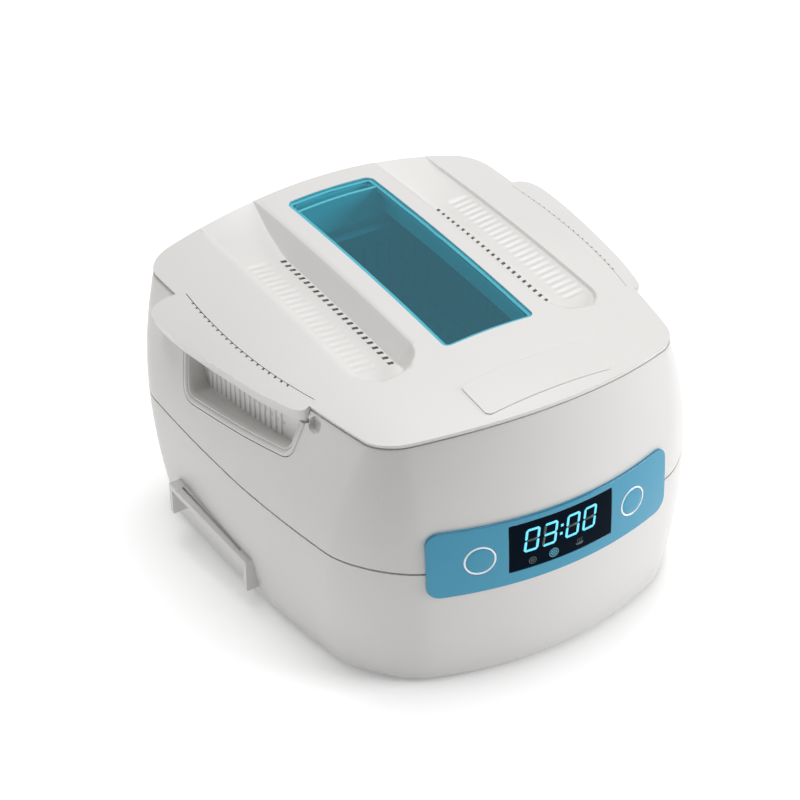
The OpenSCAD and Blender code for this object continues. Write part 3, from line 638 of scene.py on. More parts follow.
def groove_fall(x, y):
    """A groove's two surfaces as depths below the dome: a wall that falls from the rim, and a floor that
    tilts up outwards."""
    u = np.abs(x) - (GROOVE_X - GROOVE_HALF)
    d = np.maximum(-groove_depth_at(x, y), 0)
    ramp = 1 - (1 - np.clip((GROOVE_BACK - y) / GROOVE_RAMP, 0, 1)) ** 1.3
    deep = GROOVE_DEPTH * ramp
    lip = LIP_STEP * np.minimum(3 * ramp, 1)
    floor = lip + (deep - lip) * np.clip((2 * GROOVE_HALF - u) / (2 * GROOVE_HALF - VALLEY), 0, 1.6)
    round_front = np.arctan2(np.maximum(GROOVE_FRONT + GROOVE_HALF - y, 0), GROOVE_X - np.abs(x) + 1e-9)
    slope = WALL_SLOPE + (END_SLOPE - WALL_SLOPE) * np.clip(round_front / math.radians(60), 0, 1)
    wall = slope * (np.hypot(d, EDGE_ROUND) - EDGE_ROUND)
    return wall, floor


def groove_sink(x, y):
    """Depth of the groove: the shallower of its wall and its floor, joined with a small fillet."""
    wall, floor = groove_fall(x, y)
    return (wall + floor - np.sqrt((wall - floor) ** 2 + CREASE_SOFT) + math.sqrt(CREASE_SOFT) * 0.2) / 2


def rim_points(side):
    """The lid sheet's points on one groove's rim, in order from the inner back round to the outer back."""
    on_rim = np.abs(groove_depth_at(flat[:, 0], flat[:, 1])) < 1e-3
    index = np.where(on_rim & (flat[:, 0] * side > 0))[0]
    x = flat[index, 0] * side - GROOVE_X
    y = flat[index, 1] - (GROOVE_FRONT + GROOVE_HALF)
    straight = np.where(x < 0, -y, y + math.pi * GROOVE_HALF)
    way = np.where(y > 0, straight, GROOVE_HALF * (np.arctan2(y, x) + math.pi))
    return index[np.argsort(way)]


WALL_STEPS = np.array([0, 0.03, 0.08, 0.15, 0.25, 0.37, 0.5, 0.63, 0.76, 0.879, 0.95])
FLOOR_STEPS = np.array([0, 0.04, 0.12, 0.2, 0.27, 0.33, 0.43, 0.52, 0.6, 0.68, 0.76, 0.83, 0.9, 1])
SLOT_ROWS = (0.47, 0.67)
RIB_ROWS = (0.2, 0.86)
RIB_SINK = 0.32
LID_WALL = 2.2


def groove_sheet(side, points, faces):
    """Sweeps a groove's section from rim to middle line: a row on the crease, ribs sunk outside, slots open."""
    rim_index = rim_points(side)
    rim_xy = flat[rim_index]
    middle_y = np.maximum(rim_xy[:, 1], GROOVE_FRONT + GROOVE_HALF)
    middle = np.stack([np.full(len(rim_xy), side * GROOVE_X), middle_y], -1)
    trial = np.linspace(0, 1, 241)
    xy = rim_xy[:, None] + (middle - rim_xy)[:, None] * trial[None, :, None]
    wall, floor = groove_fall(xy[..., 0], xy[..., 1])
    crease = trial[np.argmax(wall >= floor, axis=1)]
    steps = np.concatenate([np.outer(WALL_STEPS, crease), crease + np.outer(FLOOR_STEPS, 1 - crease)])
    phase = (rim_xy[:, 1] - SLOT_START) / SLOT_PITCH
    near = (phase > -0.4) & (phase < SLOT_COUNT - 0.6)
    off = np.abs(phase - np.round(phase)) * SLOT_PITCH
    inner = (side * rim_xy[:, 0] < GROOVE_X) & (rim_xy[:, 1] > GROOVE_FRONT + GROOVE_HALF)
    outer = (side * rim_xy[:, 0] > GROOVE_X) & (rim_xy[:, 1] > GROOVE_FRONT + GROOVE_HALF)
    rows = []
    for s in steps[1:]:
        xy = rim_xy + (middle - rim_xy) * s[:, None]
        z = crown(xy[:, 0], xy[:, 1]) - groove_sink(xy[:, 0], xy[:, 1])
        ribbed = outer & near & (off < SLOT_HALF + 0.1) & (s > RIB_ROWS[0]) & (s < RIB_ROWS[1])
        rows.append(np.column_stack([xy, z - RIB_SINK * ribbed]))
    count = len(rim_index)
    order = np.concatenate([rim_index, len(points) + np.arange(len(rows) * count)]).reshape(-1, count)
    middle_s = (steps[1:, 1:] + steps[:-1, :-1]) / 2
    middle_phase = (phase[1:] + phase[:-1]) / 2
    middle_off = np.abs(middle_phase - np.round(middle_phase)) * SLOT_PITCH
    slot_column = inner[1:] & inner[:-1] & near[1:] & near[:-1] & (middle_off < SLOT_HALF * 0.9)
    keep = ~(slot_column & (middle_s > SLOT_ROWS[0]) & (middle_s < SLOT_ROWS[1]))
    quads = np.stack([order[:-1, :-1], order[:-1, 1:], order[1:, 1:], order[1:, :-1]], -1)[keep]
    return np.concatenate([points] + rows), faces + quads.tolist()


lid_points = np.column_stack([flat, crown(flat[:, 0], flat[:, 1])])
for side in (-1, 1):
    lid_points, lid_faces = groove_sheet(side, lid_points, lid_faces)

lid_top = make_piece("lid_top", lid_points, lid_faces, "lid", ["lid_shell"])
merge_close(lid_top, 2e-5)
lid_top.data.set_sharp_from_angle(angle=math.radians(60))
thicken(lid_top, LID_WALL, 0.5, sharp=60)
paint(lid_top, white_abs)

# The hanging skirt
SKIRT_LOW = COLLAR_Z + 9
SKIRT_UNDER = 1.5
skirt_rows = []
for grow, low in ((-0.5, False), (-0.5, True), (-2.3, True), (-2.3, False)):
    row = tank_mouth(upper_u, grow, SKIRT_LOW)
    if not low:
        x, y = row[:, 0], row[:, 1]
        top_z = crown(x, y) - SKIRT_UNDER - groove_sink(x, y) * (groove_depth_at(x, y) < 0)
        row[:, 2] = np.maximum(top_z, SKIRT_LOW + 0.5)
    skirt_rows.append(row)
skirt_grid = np.stack(skirt_rows + skirt_rows[:1])
skirt_faces = grid_faces(len(skirt_grid), WALL_COLS, True)
lid_skirt = make_piece("lid_skirt", skirt_grid.reshape(-1, 3), skirt_faces, "lid")
merge_close(lid_skirt)
paint(round_edges(lid_skirt, 0.4), white_abs)


# ---- lid window ----
# A clear blue polycarbonate pane, arched like the lid, dropped into a stepped opening on
# a silicone gasket. The lid's seal is of the same silicone.

def tinted_pane(name, through, colour, cover):
    """Clear tinted plastic: what is behind shows through coloured, under a share of glossy tinted surface."""
    mat = bpy.data.materials.new(name)
    mat.use_nodes = True
    nodes, links = mat.node_tree.nodes, mat.node_tree.links
    shader = nodes["Principled BSDF"]
    tune(mat, Base_Color=(*colour, 1), Roughness=0.07)
    clear = nodes.new("ShaderNodeBsdfTransparent")
    clear.inputs["Color"].default_value = (*through, 1)
    mix = nodes.new("ShaderNodeMixShader")
    mix.inputs["Fac"].default_value = cover
    links.new(clear.outputs["BSDF"], mix.inputs[1])
    links.new(shader.outputs["BSDF"], mix.inputs[2])
    links.new(mix.outputs["Shader"], nodes["Material Output"].inputs["Surface"])
    return mat


blue_pane = tinted_pane("blue_window", (0.40, 0.92, 1.0), (0.24, 0.50, 0.60), 0.13)


def dome_plate(name, half_w, half_l, middle_y, r, lift, wall, edge, body, replaces, slot, mat):
    """A plate of even thickness that follows the dome, with rounded corners and edges."""
    low, high = middle_y - half_l, middle_y + half_l
    plate_x = line_set(-half_w - 1, half_w + 1, [-half_w, half_w], [], coarse=2.0)
    plate_y = line_set(low - 1, high + 1, [low, high], [], coarse=2.0)
    outline, cells = trimmed_sheet(
        plate_x, plate_y, [lambda px, py: -rectangle_depth(px, py - middle_y, 2 * half_w, 2 * half_l, r)])
    points = np.column_stack([outline, crown(outline[:, 0], outline[:, 1]) + lift])
    plate = make_piece(name, points, cells, body, replaces)
    return paint(thicken(plate, wall, edge), mat)


PANE_SINK = 0.25
PANE_T = 1.9
dome_plate("lid_pane", WINDOW_HALF_W, WINDOW_HALF_L, WINDOW_Y, 4, -PANE_SINK, PANE_T, 0.3,
           "lid", ["lid_window"], "blue_window", blue_pane)

# The ledge under the pane, and the frame wall that hangs below it
FRAME_DROP = 18.0
frame_u = np.arange(4 * 32) / 32
frame_rows = []
for grow, drop in ((3.0, 1.5), (3.0, FRAME_DROP), (1.2, FRAME_DROP), (1.2, 4.0), (-2.6, 4.0), (-2.6, 2.1)):
    x, y = rounded_loop(frame_u, WINDOW_HALF_W + grow, WINDOW_HALF_L + grow, WINDOW_HALF_L + grow, 5)
    y = np.minimum(y + WINDOW_Y, TANK_Y + COLLAR_HALF_L - 1.0) if drop > 4.5 else y + WINDOW_Y
    frame_rows.append(np.column_stack([x, y, crown(x, y) - drop]))
frame_grid = np.stack(frame_rows)
frame_faces = grid_faces(len(frame_rows), len(frame_u), True)
window_frame = make_piece("window_frame", frame_grid.reshape(-1, 3), frame_faces, "lid")
paint(window_frame, white_abs)
silicone = moulded_plastic("silicone", (0.55, 0.58, 0.60), roughness=0.55, grain=0.02)
paint(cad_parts["window_gasket"], silicone)
paint(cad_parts["lid_seal"], silicone)


# ---- lid badge ----
# A blank pad of the lid's own plastic near its front edge. It lies part sunk in the lid
# and stands a hair proud.

BADGE_HALF = (39.5, 13.5)
BADGE_Y = -96.0
dome_plate("badge_pad", *BADGE_HALF, BADGE_Y, 3, 0.7, 1.2, 0.4, "lid", ["lid_badge"], "white_abs", white_abs)


# ---- control panel ----
# A tinted acrylic lens that bows with the front and bridges the joint line. The display
# window is set in its middle, and a press key in a white ring at each side; the ring has a faint painted glow.

LENS_OUT = 1.6
LENS_T = 3.0
LENS_STEP = 1.1
GLASS_COLS = 40
GLASS_ROWS = 16
KEY_X = 48.5
KEY_R = 7.6
RING_OUT = 8.85
KEY_SIDES = 96
DISPLAY_Z = PANEL_Z + 2.3
DISPLAY_W = 65.0
DISPLAY_H = 30.0


def face_y(x, z, lift=0.0):
    """The front face's y at a place in front view: the level comes from z by halving, then the bow gives y."""
    x, z = np.broadcast_arrays(np.asarray(x, float), np.asarray(z, float))
    low, high = np.zeros(x.shape), np.full(x.shape, 2.0)
    for _ in range(24):
        v = (low + high) / 2
        below = face_at_level(x, v, lift)[1] < z
        low, high = np.where(below, v, low), np.where(below, high, v)
    return face_at_level(x, (low + high) / 2, lift)[0]


def face_at_level(x, v, lift):
    """The bowed front face at level v, and its height there."""
    w0, w1, w2 = level_weights(v)
    a = w0 * HALF_W[0] + w1 * HALF_W[1] + w2 * HALF_W[2] + lift
    front = w0 * HALF_FRONT[0] + w1 * HALF_FRONT[1] + w2 * HALF_FRONT[2] + lift
    y = -front * (1 - FRONT_BOW * (x / (1 - SIDE_BOW - TAPER) / a) ** 2)
    return y, w0 * FOOT_Z + w1 * SEAM_Z + w2 * (crown(x, y) - LID_T)


def on_face(flat_points, lift):
    """Lays points of the front view on the face, lifted off it."""
    x, z = flat_points[:, 0], flat_points[:, 1]
    return np.column_stack([x, face_y(x, z, lift), z])


def panel_edge(x, z):
    """Distance inside the panel's rounded rectangle."""
    return -rectangle_depth(x - PANEL_X, z - PANEL_Z, PANEL_W, PANEL_H, PANEL_R)


def display_edge(x, z):
    """Distance outside the display opening's rectangle."""
    return rectangle_depth(x - PANEL_X, z - DISPLAY_Z, DISPLAY_W + 0.2, DISPLAY_H + 0.2, 0.6)


def key_edge(x, z):
    """Distance outside the two key openings' circles."""
    return np.hypot(np.abs(x - PANEL_X) - KEY_X, z - PANEL_Z) - RING_OUT


opening_x = DISPLAY_W / 2 + 0.1
opening_z = DISPLAY_H / 2 + 0.1
half_w = PANEL_W / 2
half_h = PANEL_H / 2
openings = [-opening_x, opening_x, -half_w, half_w]
lens_x = PANEL_X + line_set(-half_w - 1, half_w + 1, openings, [], coarse=LENS_STEP)
openings = [DISPLAY_Z - opening_z, DISPLAY_Z + opening_z]
lens_z = line_set(PANEL_Z - half_h - 1, PANEL_Z + half_h + 1, openings, [], coarse=LENS_STEP)
lens_flat, lens_faces = trimmed_sheet(lens_x, lens_z, [panel_edge, display_edge, key_edge])
lens_points = on_face(lens_flat, LENS_OUT)
lens = make_piece("front_lens", lens_points, lens_faces, "housing", ["panel_lens"])


def face_out(piece):
    """Turns a sheet's faces towards the front."""
    work = bmesh.new()
    work.from_mesh(piece.data)
    if sum(f.normal.y * f.calc_area() for f in work.faces) > 0:
        bmesh.ops.reverse_faces(work, faces=work.faces)
    work.to_mesh(piece.data)
    work.free()
    return piece


thicken(face_out(lens), LENS_T, 1.3, sharp=60)
blue_lens = moulded_plastic("blue_panel", (0.024, 0.29, 0.46), roughness=0.10, grain=0.0, shade=0.04)
tune(blue_lens, Coat_Weight=0.08, Coat_Roughness=0.04)
# A darker copy of the lens blue for its bevelled edges: painted shade, for the edge's darker look.
blue_edge_shade = moulded_plastic("blue_panel_edge_shade", (0.008, 0.16, 0.30), roughness=0.08, grain=0.0)
tune(blue_edge_shade, Coat_Weight=1.0)
paint(lens, blue_lens, blue_edge_shade)
lens.modifiers["edge"].material = 1
lens.modifiers["edge"].segments = 3

black_glass = moulded_plastic("display_black", (0.0006, 0.005, 0.012), roughness=0.10, grain=0.0)
tune(black_glass, Specular_IOR_Level=0.02)
glass_x = PANEL_X + np.linspace(-DISPLAY_W / 2, DISPLAY_W / 2, GLASS_COLS)
glass_z = np.linspace(DISPLAY_Z - DISPLAY_H / 2, DISPLAY_Z + DISPLAY_H / 2, GLASS_ROWS)
glass_flat = np.stack(np.meshgrid(glass_x, glass_z), -1).reshape(-1, 2)
glass = make_piece("display_glass", on_face(glass_flat, LENS_OUT - 0.05), grid_faces(GLASS_ROWS, GLASS_COLS),
                   "housing", ["display_window"])
paint(thicken(face_out(glass), 2.6, 0.15), black_glass)


def glow(name, colour, strength, base=(0.02, 0.02, 0.02)):
    """A mark that glows by emission: a lit one behind the display window, or a faint painted glow on an unlit mark
    or a white ring.
    """
    mat = bpy.data.materials.new(name)
    mat.use_nodes = True
    tune(mat, Base_Color=(*base, 1), Emission_Color=(*colour, 1), Emission_Strength=strength, Roughness=0.3)
    return mat


lit = glow("lit_segment", (0.12, 0.68, 0.92), 1.25)
lit_soft = glow("lit_symbol", (0.12, 0.55, 0.75), 0.55)
# Unlit segments and symbols get a faint teal glow: painted light, as they are no lamp.
unlit = glow("unlit_segment_painted_glow", (0.028, 0.07, 0.07), 0.6)
DIGIT_H = 14.6
DIGIT_W = 8.0
SEGMENT_T = 1.45
SLANT = 0.12
DIGIT_Z = DISPLAY_Z + 3.2
SEGMENTS = {"a": (0, 2, "h"), "b": (1, 1, "v"), "c": (1, 0, "v"), "d": (0, 0, "h"),
            "e": (-1, 0, "v"), "f": (-1, 1, "v"), "g": (0, 1, "h")}
FIGURES = {"0": "abcdef", "3": "abcdg"}


def bar(length, width):
    """One display segment: a long hexagon about the origin."""
    tip, side = length / 2, width / 2
    return np.array([(-tip, 0), (-tip + side, side), (tip - side, side),
                     (tip, 0), (tip - side, -side), (-tip + side, -side)])


def figure_bars(figure, x0, wanted):
    """The segments of one figure that are lit, or those that are not, slanted a little to the right."""
    bars = []
    for key, (side, tier, way) in SEGMENTS.items():
        if (key in FIGURES[figure]) != wanted:
            continue
        half = DIGIT_H / 2
        if way == "h":
            shape = bar(DIGIT_W - 0.5, SEGMENT_T) + [0, (tier - 1) * (half - SEGMENT_T / 2)]
        else:
            column_x = side * (DIGIT_W / 2 - SEGMENT_T / 2 + 0.3)
            shape = bar(half - 0.9, SEGMENT_T)[:, ::-1] + [column_x, (tier - 0.5) * (half - 0.3)]
        shape[:, 0] += SLANT * shape[:, 1] + x0
        shape[:, 1] += DIGIT_Z
        bars.append(shape)
    return bars


def ring_mark(cx, cz, r, width, count=28):
    """A flat ring drawn as short quads."""
    turn = np.linspace(0, 2 * math.pi, count + 1)
    marks = []
    for t0, t1 in zip(turn, turn[1:]):
        corners = [(r, t0), (r, t1), (r - width, t1), (r - width, t0)]
        marks.append(np.array([(cx + q * math.cos(t), cz + q * math.sin(t)) for q, t in corners]))
    return marks


def marks_on_face(name, shapes, lift, mat):
    """Flat marks laid on the panel's face as one thin piece."""
    points, faces = [], []
    for shape in shapes:
        if np.sum(shape[:, 0] * np.roll(shape[:, 1], -1) - np.roll(shape[:, 0], -1) * shape[:, 1]) < 0:
            shape = shape[::-1]
        faces.append(list(range(len(points), len(points) + len(shape))))
        points += on_face(shape, lift).tolist()
    piece = make_piece(name, points, faces, "housing")
    paint(thicken(face_out(piece), 0.12), mat)
    return piece


DIGIT_X = (PANEL_X - 19.3, PANEL_X - 8.4, PANEL_X + 5.9, PANEL_X + 17.0)
COLON_X = PANEL_X - 1.3
COLON_RISE = 2.6
DOT_HALF = 0.8
ICON_X = (PANEL_X - 19.0, PANEL_X - 6.0, PANEL_X + 10.4)
ICON_Z = DISPLAY_Z - 10.4
TIME_SHOWN = "0300"
lit_bars = [b for f, x in zip(TIME_SHOWN, DIGIT_X) for b in figure_bars(f, x, True)]
dim_bars = [b for f, x in zip(TIME_SHOWN, DIGIT_X) for b in figure_bars(f, x, False)]
dot = DOT_HALF * np.array([(-1, -1), (1, -1), (1, 1), (-1, 1)])
lit_bars += [dot + (COLON_X + SLANT * dz, DIGIT_Z + dz) for dz in (-COLON_RISE, COLON_RISE)]
marks_on_face("lit_figures", lit_bars, LENS_OUT + 0.05, lit)


def petal_marks(cx, cz, r, size, count):
    """A ring of small round petals with a ring about them, the lit wash symbol."""
    turn = np.linspace(0, 2 * math.pi, count + 1)[:-1]
    t = np.linspace(0, 5.4, 7)
    petal = size * np.column_stack([np.cos(t), np.sin(t)])
    dots = [petal + (cx + r * math.cos(c), cz + r * math.sin(c)) for c in turn]
    return dots + ring_mark(cx, cz, r + 2 * size + 0.4, 0.45, 32) + ring_mark(cx, cz, r * 0.45, 0.35, 16)


def heat_mark(cx, cz, r):
    """A heating symbol: a low dish with three short leaning strokes above it."""
    dish = np.array([(-r, -0.2), (r, -0.2), (0.7 * r, -0.7 * r), (-0.7 * r, -0.7 * r)])
    stroke = np.array([(0, 0.4), (0.35, 0.4), (0.75, r), (0.4, r)])
    return [dish + (cx, cz)] + [stroke + (cx + share * r, cz) for share in (-0.6, -0.1, 0.4)]


marks_on_face("lit_icon", petal_marks(ICON_X[1], ICON_Z, 1.5, 0.5, 8), LENS_OUT + 0.05, lit_soft)
dim_bars += petal_marks(ICON_X[0], ICON_Z - 0.3, 1.1, 0.4, 6) + heat_mark(ICON_X[2], ICON_Z + 0.4, 2.6)
marks_on_face("unlit_marks", dim_bars, LENS_OUT + 0.04, unlit)

# The white ring glows faintly by emission: painted light, as the ring is no lamp.
ring_painted_glow = glow("ring_white", (0.75, 0.95, 1.0), 0.12, (0.85, 0.93, 0.96))
ring_in, ring_out = KEY_R + 0.22, RING_OUT - 0.08
ring_section = [(ring_in, -1.6), (ring_in, 0.02), (KEY_R + 0.4, 0.18), (RING_OUT - 0.3, 0.18),
                (ring_out, 0.02), (ring_out, -1.6), (ring_in, -1.6)]
cap_section = [(0.0, 0.0), (2.5, 0.0), (5.0, 0.0), (7.2, 0.0), (KEY_R - 0.25, -0.05),
               (KEY_R, -0.35), (KEY_R, -3.5), (2.4, -3.5), (2.2, -8.0), (0.0, -8.0)]
turn = np.linspace(0, 2 * math.pi, KEY_SIDES + 1)[:-1]
for tag, x in (("left", PANEL_X - KEY_X), ("right", PANEL_X + KEY_X)):
    rings, cap_rows = [], []
    for r, lift in ring_section:
        ring_flat = np.column_stack([x + r * np.cos(turn), PANEL_Z + r * np.sin(turn)])
        rings.append(on_face(ring_flat, LENS_OUT + lift))
    ring_faces = grid_faces(len(rings), KEY_SIDES, True)
    ring = make_piece("key_ring_" + tag, np.concatenate(rings), ring_faces, "housing",
                      ["key_rings"] if tag == "left" else [])
    merge_close(ring)
    paint(ring, ring_painted_glow)
    for r, lift in cap_section:
        cap_flat = np.column_stack([x + r * np.cos(turn), PANEL_Z + r * np.sin(turn)])
        cap_rows.append(on_face(cap_flat, LENS_OUT) + [0, -lift, 0])
    cap_faces = grid_faces(len(cap_rows), KEY_SIDES, True)
    cap = make_piece("key_cap_" + tag, np.concatenate(cap_rows), cap_faces, "key_" + tag,
                     ["key_" + tag])
    merge_close(cap, 1e-5)
    paint(cap, blue_lens)


# ---- carrying handles ----
# A flat-topped ABS handle on each side, flush with the lid, whose rim runs down and round
# a finger pocket. The pocket is a ribbed cup pressed in from outside.

HANDLE_OUTER = np.array([(110.5, 94.4), (118.0, 98.0), (124.0, 99.3), (128.5, 97.6),
                         (131.0, 94.0), (131.8, 88.0), (131.5, 75.0), (130.4, 61.5),
                         (127.2, 37.4), (123.4, 13.7), (119.7, -7.1), (115.3, -24.0),
                         (111.8, -35.0), (108.6, -39.6), (105.4, -39.8), (101.6, -38.9)])
PLATE_T = 10.5
PLATE_CLEAR = 0.2


def smooth_through(points, share):
    """A Catmull-Rom curve through a few points, read at shares of its length from 0 to 1."""
    p = np.concatenate([[2 * points[0] - points[1]], points, [2 * points[-1] - points[-2]]])
    reach = np.concatenate([[0], np.cumsum(np.linalg.norm(np.diff(points, axis=0), axis=1))])
    t = np.minimum(np.interp(share, reach / reach[-1], np.arange(len(points))), len(points) - 1 - 1e-9)
    i = t.astype(int)
    f = (t - i)[:, None]
    a, b, c, d = p[i], p[i + 1], p[i + 2], p[i + 3]
    return 0.5 * (2 * b + (c - a) * f + (2 * a - 5 * b + 4 * c - d) * f**2 + (3 * b - a - 3 * c + d) * f**3)


def mirrored(points, faces, side):
    """The right-hand shape as it is, or mirrored to the left with its faces turned back."""
    points = np.array(points, float)
    if side > 0:
        return points, faces
    points[:, 0] *= -1
    return points, [f[::-1] for f in faces]


TOOTH_COUNT = 20
TOOTH_PITCH = 5.15
TOOTH_FIRST = 80.0
TOOTH_HALF = 0.75
TOOTH_DEEP = 1.2
tooth_y = TOOTH_FIRST - TOOTH_PITCH * np.arange(TOOTH_COUNT)
top_y, low_y = 94.0, -38.5
inner_y = np.concatenate([tooth_y - TOOTH_HALF, tooth_y + TOOTH_HALF, tooth_y + TOOTH_PITCH / 2,
                          np.linspace(top_y, TOOTH_FIRST + 3, 7), np.linspace(tooth_y[-1] - 4, low_y, 8)])
inner_y = np.sort(inner_y)[::-1]
edge_inner = np.column_stack([handle_edge(inner_y, HANDLE_INNER) + PLATE_CLEAR, inner_y])
edge_outer = smooth_through(HANDLE_OUTER, (top_y - inner_y) / (top_y - low_y))
plate_width = np.linalg.norm(edge_outer - edge_inner, axis=1)
bite = TOOTH_DEEP / plate_width
shares = np.concatenate([np.zeros((1, len(inner_y))), bite + np.linspace(0, 1, 11)[:, None] * (1 - bite)])
plate_xy = edge_inner + (edge_outer - edge_inner) * shares[..., None]
plate_grid = np.concatenate([plate_xy, crown(plate_xy[..., 0], plate_xy[..., 1])[..., None]], -1)
plate_keep = np.ones((len(shares) - 1, len(inner_y) - 1), bool)
column_y = (inner_y[1:] + inner_y[:-1]) / 2
plate_keep[0] = np.min(np.abs(column_y[:, None] - tooth_y), axis=1) > TOOTH_HALF * 0.6

POCKET_DEPTH = 10.5


def pocket_loop(grow):
    """The pocket's outline in side view: its polygon grown by the corner radius, walked once."""
    loop = []
    pts = [np.array(p) for p in POCKET_POINTS[::-1]]
    for k in range(4):
        before, here, after = pts[k - 1], pts[k], pts[(k + 1) % 4]
        n0 = np.array([(here - before)[1], -(here - before)[0]]) / np.linalg.norm(here - before)
        n1 = np.array([(after - here)[1], -(after - here)[0]]) / np.linalg.norm(after - here)
        a0, a1 = math.atan2(n0[1], n0[0]), math.atan2(n1[1], n1[0])
        a1 += 2 * math.pi if a1 < a0 else 0
        for t in np.linspace(a0, a1, 9):
            loop.append(here + (POCKET_R + grow) * np.array([math.cos(t), math.sin(t)]))
        end = after + (POCKET_R + grow) * n1
        start = here + (POCKET_R + grow) * n1
        for t in np.linspace(0, 1, 17)[1:-1]:
            loop.append(start + (end - start) * t)
    return np.array(loop)


TOP_Z = 150.0
LEDGE_DROP = 6.0
PLATE_MIDDLE_X = 118.0
POCKET_MIDDLE_Z = 124.0
CUP_TOP = 146.0
CUP_SHRINK = 2.4
SPINE = (-20.0, 48.0, 130.0)
rim_section = [(-0.3, -3.0), (-0.1, -1.2), (0.5, -0.2), (1.3, 0.2), (RIM_W - 0.5, 0.2), (RIM_W - 0.1, -0.1),
               (RIM_W, -0.6), (RIM_W, -3.0)]
rim_rows = []
for grow, lift in rim_section + rim_section[:1]:
    loop = pocket_loop(grow)
    z = np.minimum(loop[:, 1], crown(PLATE_MIDDLE_X, loop[:, 0]) - LEDGE_DROP)
    rim_rows.append(np.column_stack([side_x(loop[:, 0], np.minimum(z, TOP_Z), lift), loop[:, 0], z]))
rim_grid = np.stack(rim_rows)


def pocket_wall_x(y):
    """Where the pocket's ribbed wall lies: a fixed depth inside the body's side."""
    return side_x(np.clip(y, -40, 72), POCKET_MIDDLE_Z, -POCKET_DEPTH)


def cup_row(y, z, x):
    """One row of the pocket's cup, cut off under the handle plate."""
    return np.column_stack([x, y, np.minimum(z, CUP_TOP)])


cup_rows = []
for share, shrink in ((0, 0), (0.25, 0), (0.5, 0), (0.75, 0), (0.9, 0.0), (0.97, 0.8), (1.0, CUP_SHRINK)):
    y, z = pocket_loop(-shrink).T
    edge_x = side_x(y, np.minimum(z, TOP_Z), -0.8)
    cup_rows.append(cup_row(y, z, edge_x + (pocket_wall_x(y) - edge_x) * share))
wall_loop = pocket_loop(-CUP_SHRINK)
spine = np.column_stack([np.clip(wall_loop[:, 0], *SPINE[:2]), np.full(len(wall_loop), SPINE[2])])
for share in (0.3, 0.6, 0.85, 1.0):
    y, z = (wall_loop + (spine - wall_loop) * share).T
    cup_rows.append(cup_row(y, z, pocket_wall_x(y)))
cup_grid = np.stack(cup_rows)


def box_points(low, high):
    """The eight corners and six outward faces of a box."""
    x0, y0, z0 = low
    x1, y1, z1 = high
    points = [(x, y, z) for z in (z0, z1) for y in (y0, y1) for x in (x0, x1)]
    return points, [[0, 2, 3, 1], [4, 5, 7, 6], [0, 1, 5, 4], [2, 6, 7, 3], [0, 4, 6, 2], [1, 3, 7, 5]]


RIB_HALF = 1.55
RIB_OUT = 2.2
RIB_TOP = 144.0
rib_points, rib_faces = [], []
for y in tooth_y[3:] + TOOTH_PITCH / 2:
    low_z = max(107.5 + (56 - y) * 15.5 / 84, 114 + 2 * (y - 60))
    wall_x = float(pocket_wall_x(y))
    far_corner = (wall_x + RIB_OUT, y + RIB_HALF, RIB_TOP)
    corners, sides = box_points((wall_x - 1.0, y - RIB_HALF, low_z), far_corner)
    rib_faces += [[i + len(rib_points) for i in f] for f in sides]
    rib_points += corners

for tag, side in (("left", -1), ("right", 1)):
    plate_faces = grid_faces(*plate_grid.shape[:2], False, plate_keep)
    points, faces = mirrored(*drop_loose(plate_grid.reshape(-1, 3), plate_faces), side)
    plate = make_piece("handle_plate_" + tag, points, faces, "housing", ["handle_" + tag])
    merge_close(plate)
    paint(thicken(plate, PLATE_T - 0.5, 0.5, sharp=40), white_abs)
    points, faces = mirrored(rim_grid.reshape(-1, 3), grid_faces(*rim_grid.shape[:2], True), side)
    pocket_rim = make_piece("pocket_rim_" + tag, points, faces, "housing")
    merge_close(pocket_rim)
    paint(pocket_rim, white_abs)
    points, faces = mirrored(cup_grid.reshape(-1, 3), grid_faces(*cup_grid.shape[:2], True), side)
    cup = make_piece("finger_pocket_" + tag, points, faces, "housing", ["finger_cup_" + tag])
    merge_close(cup)
    thicken(cup, 1.4, offset=1.0).modifiers["wall"].use_even_offset = False
    paint(cup, white_abs)
    points, faces = mirrored(rib_points, rib_faces, side)
    ribs = make_piece("pocket_ribs_" + tag, points, faces, "housing")
    paint(round_edges(ribs, 1.1), white_abs)


# ---- everything inside and underneath ----
# Machined, stamped and bought-in parts, with the moulded side ledges of the base, keep
# their CAD shape and get their own finishes. Each stays where the CAD mounts it.

def metal(name, colour, roughness, streak=(1, 1, 60), strength=0.15):
    """Bare metal with stretched noise for its brushing or turning marks."""
    mat = moulded_plastic(name, colour, roughness, 0.0, 0.06)
    nodes, links = mat.node_tree.nodes, mat.node_tree.links
    shader = nodes["Principled BSDF"]
    shader.inputs["Metallic"].default_value = 1.0
    stretch = nodes.new("ShaderNodeMapping")
    stretch.inputs["Scale"].default_value = [s * 12 for s in streak]
    links.new(nodes["Texture Coordinate"].outputs["Object"], stretch.inputs["Vector"])
    lines = nodes.new("ShaderNodeTexNoise")
    lines.inputs["Scale"].default_value = 40
    links.new(stretch.outputs["Vector"], lines.inputs["Vector"])
    bump = nodes["Bump"]
    bump.inputs["Strength"].default_value = strength
    links.new(lines.outputs["Fac"], bump.inputs["Height"])
    return mat


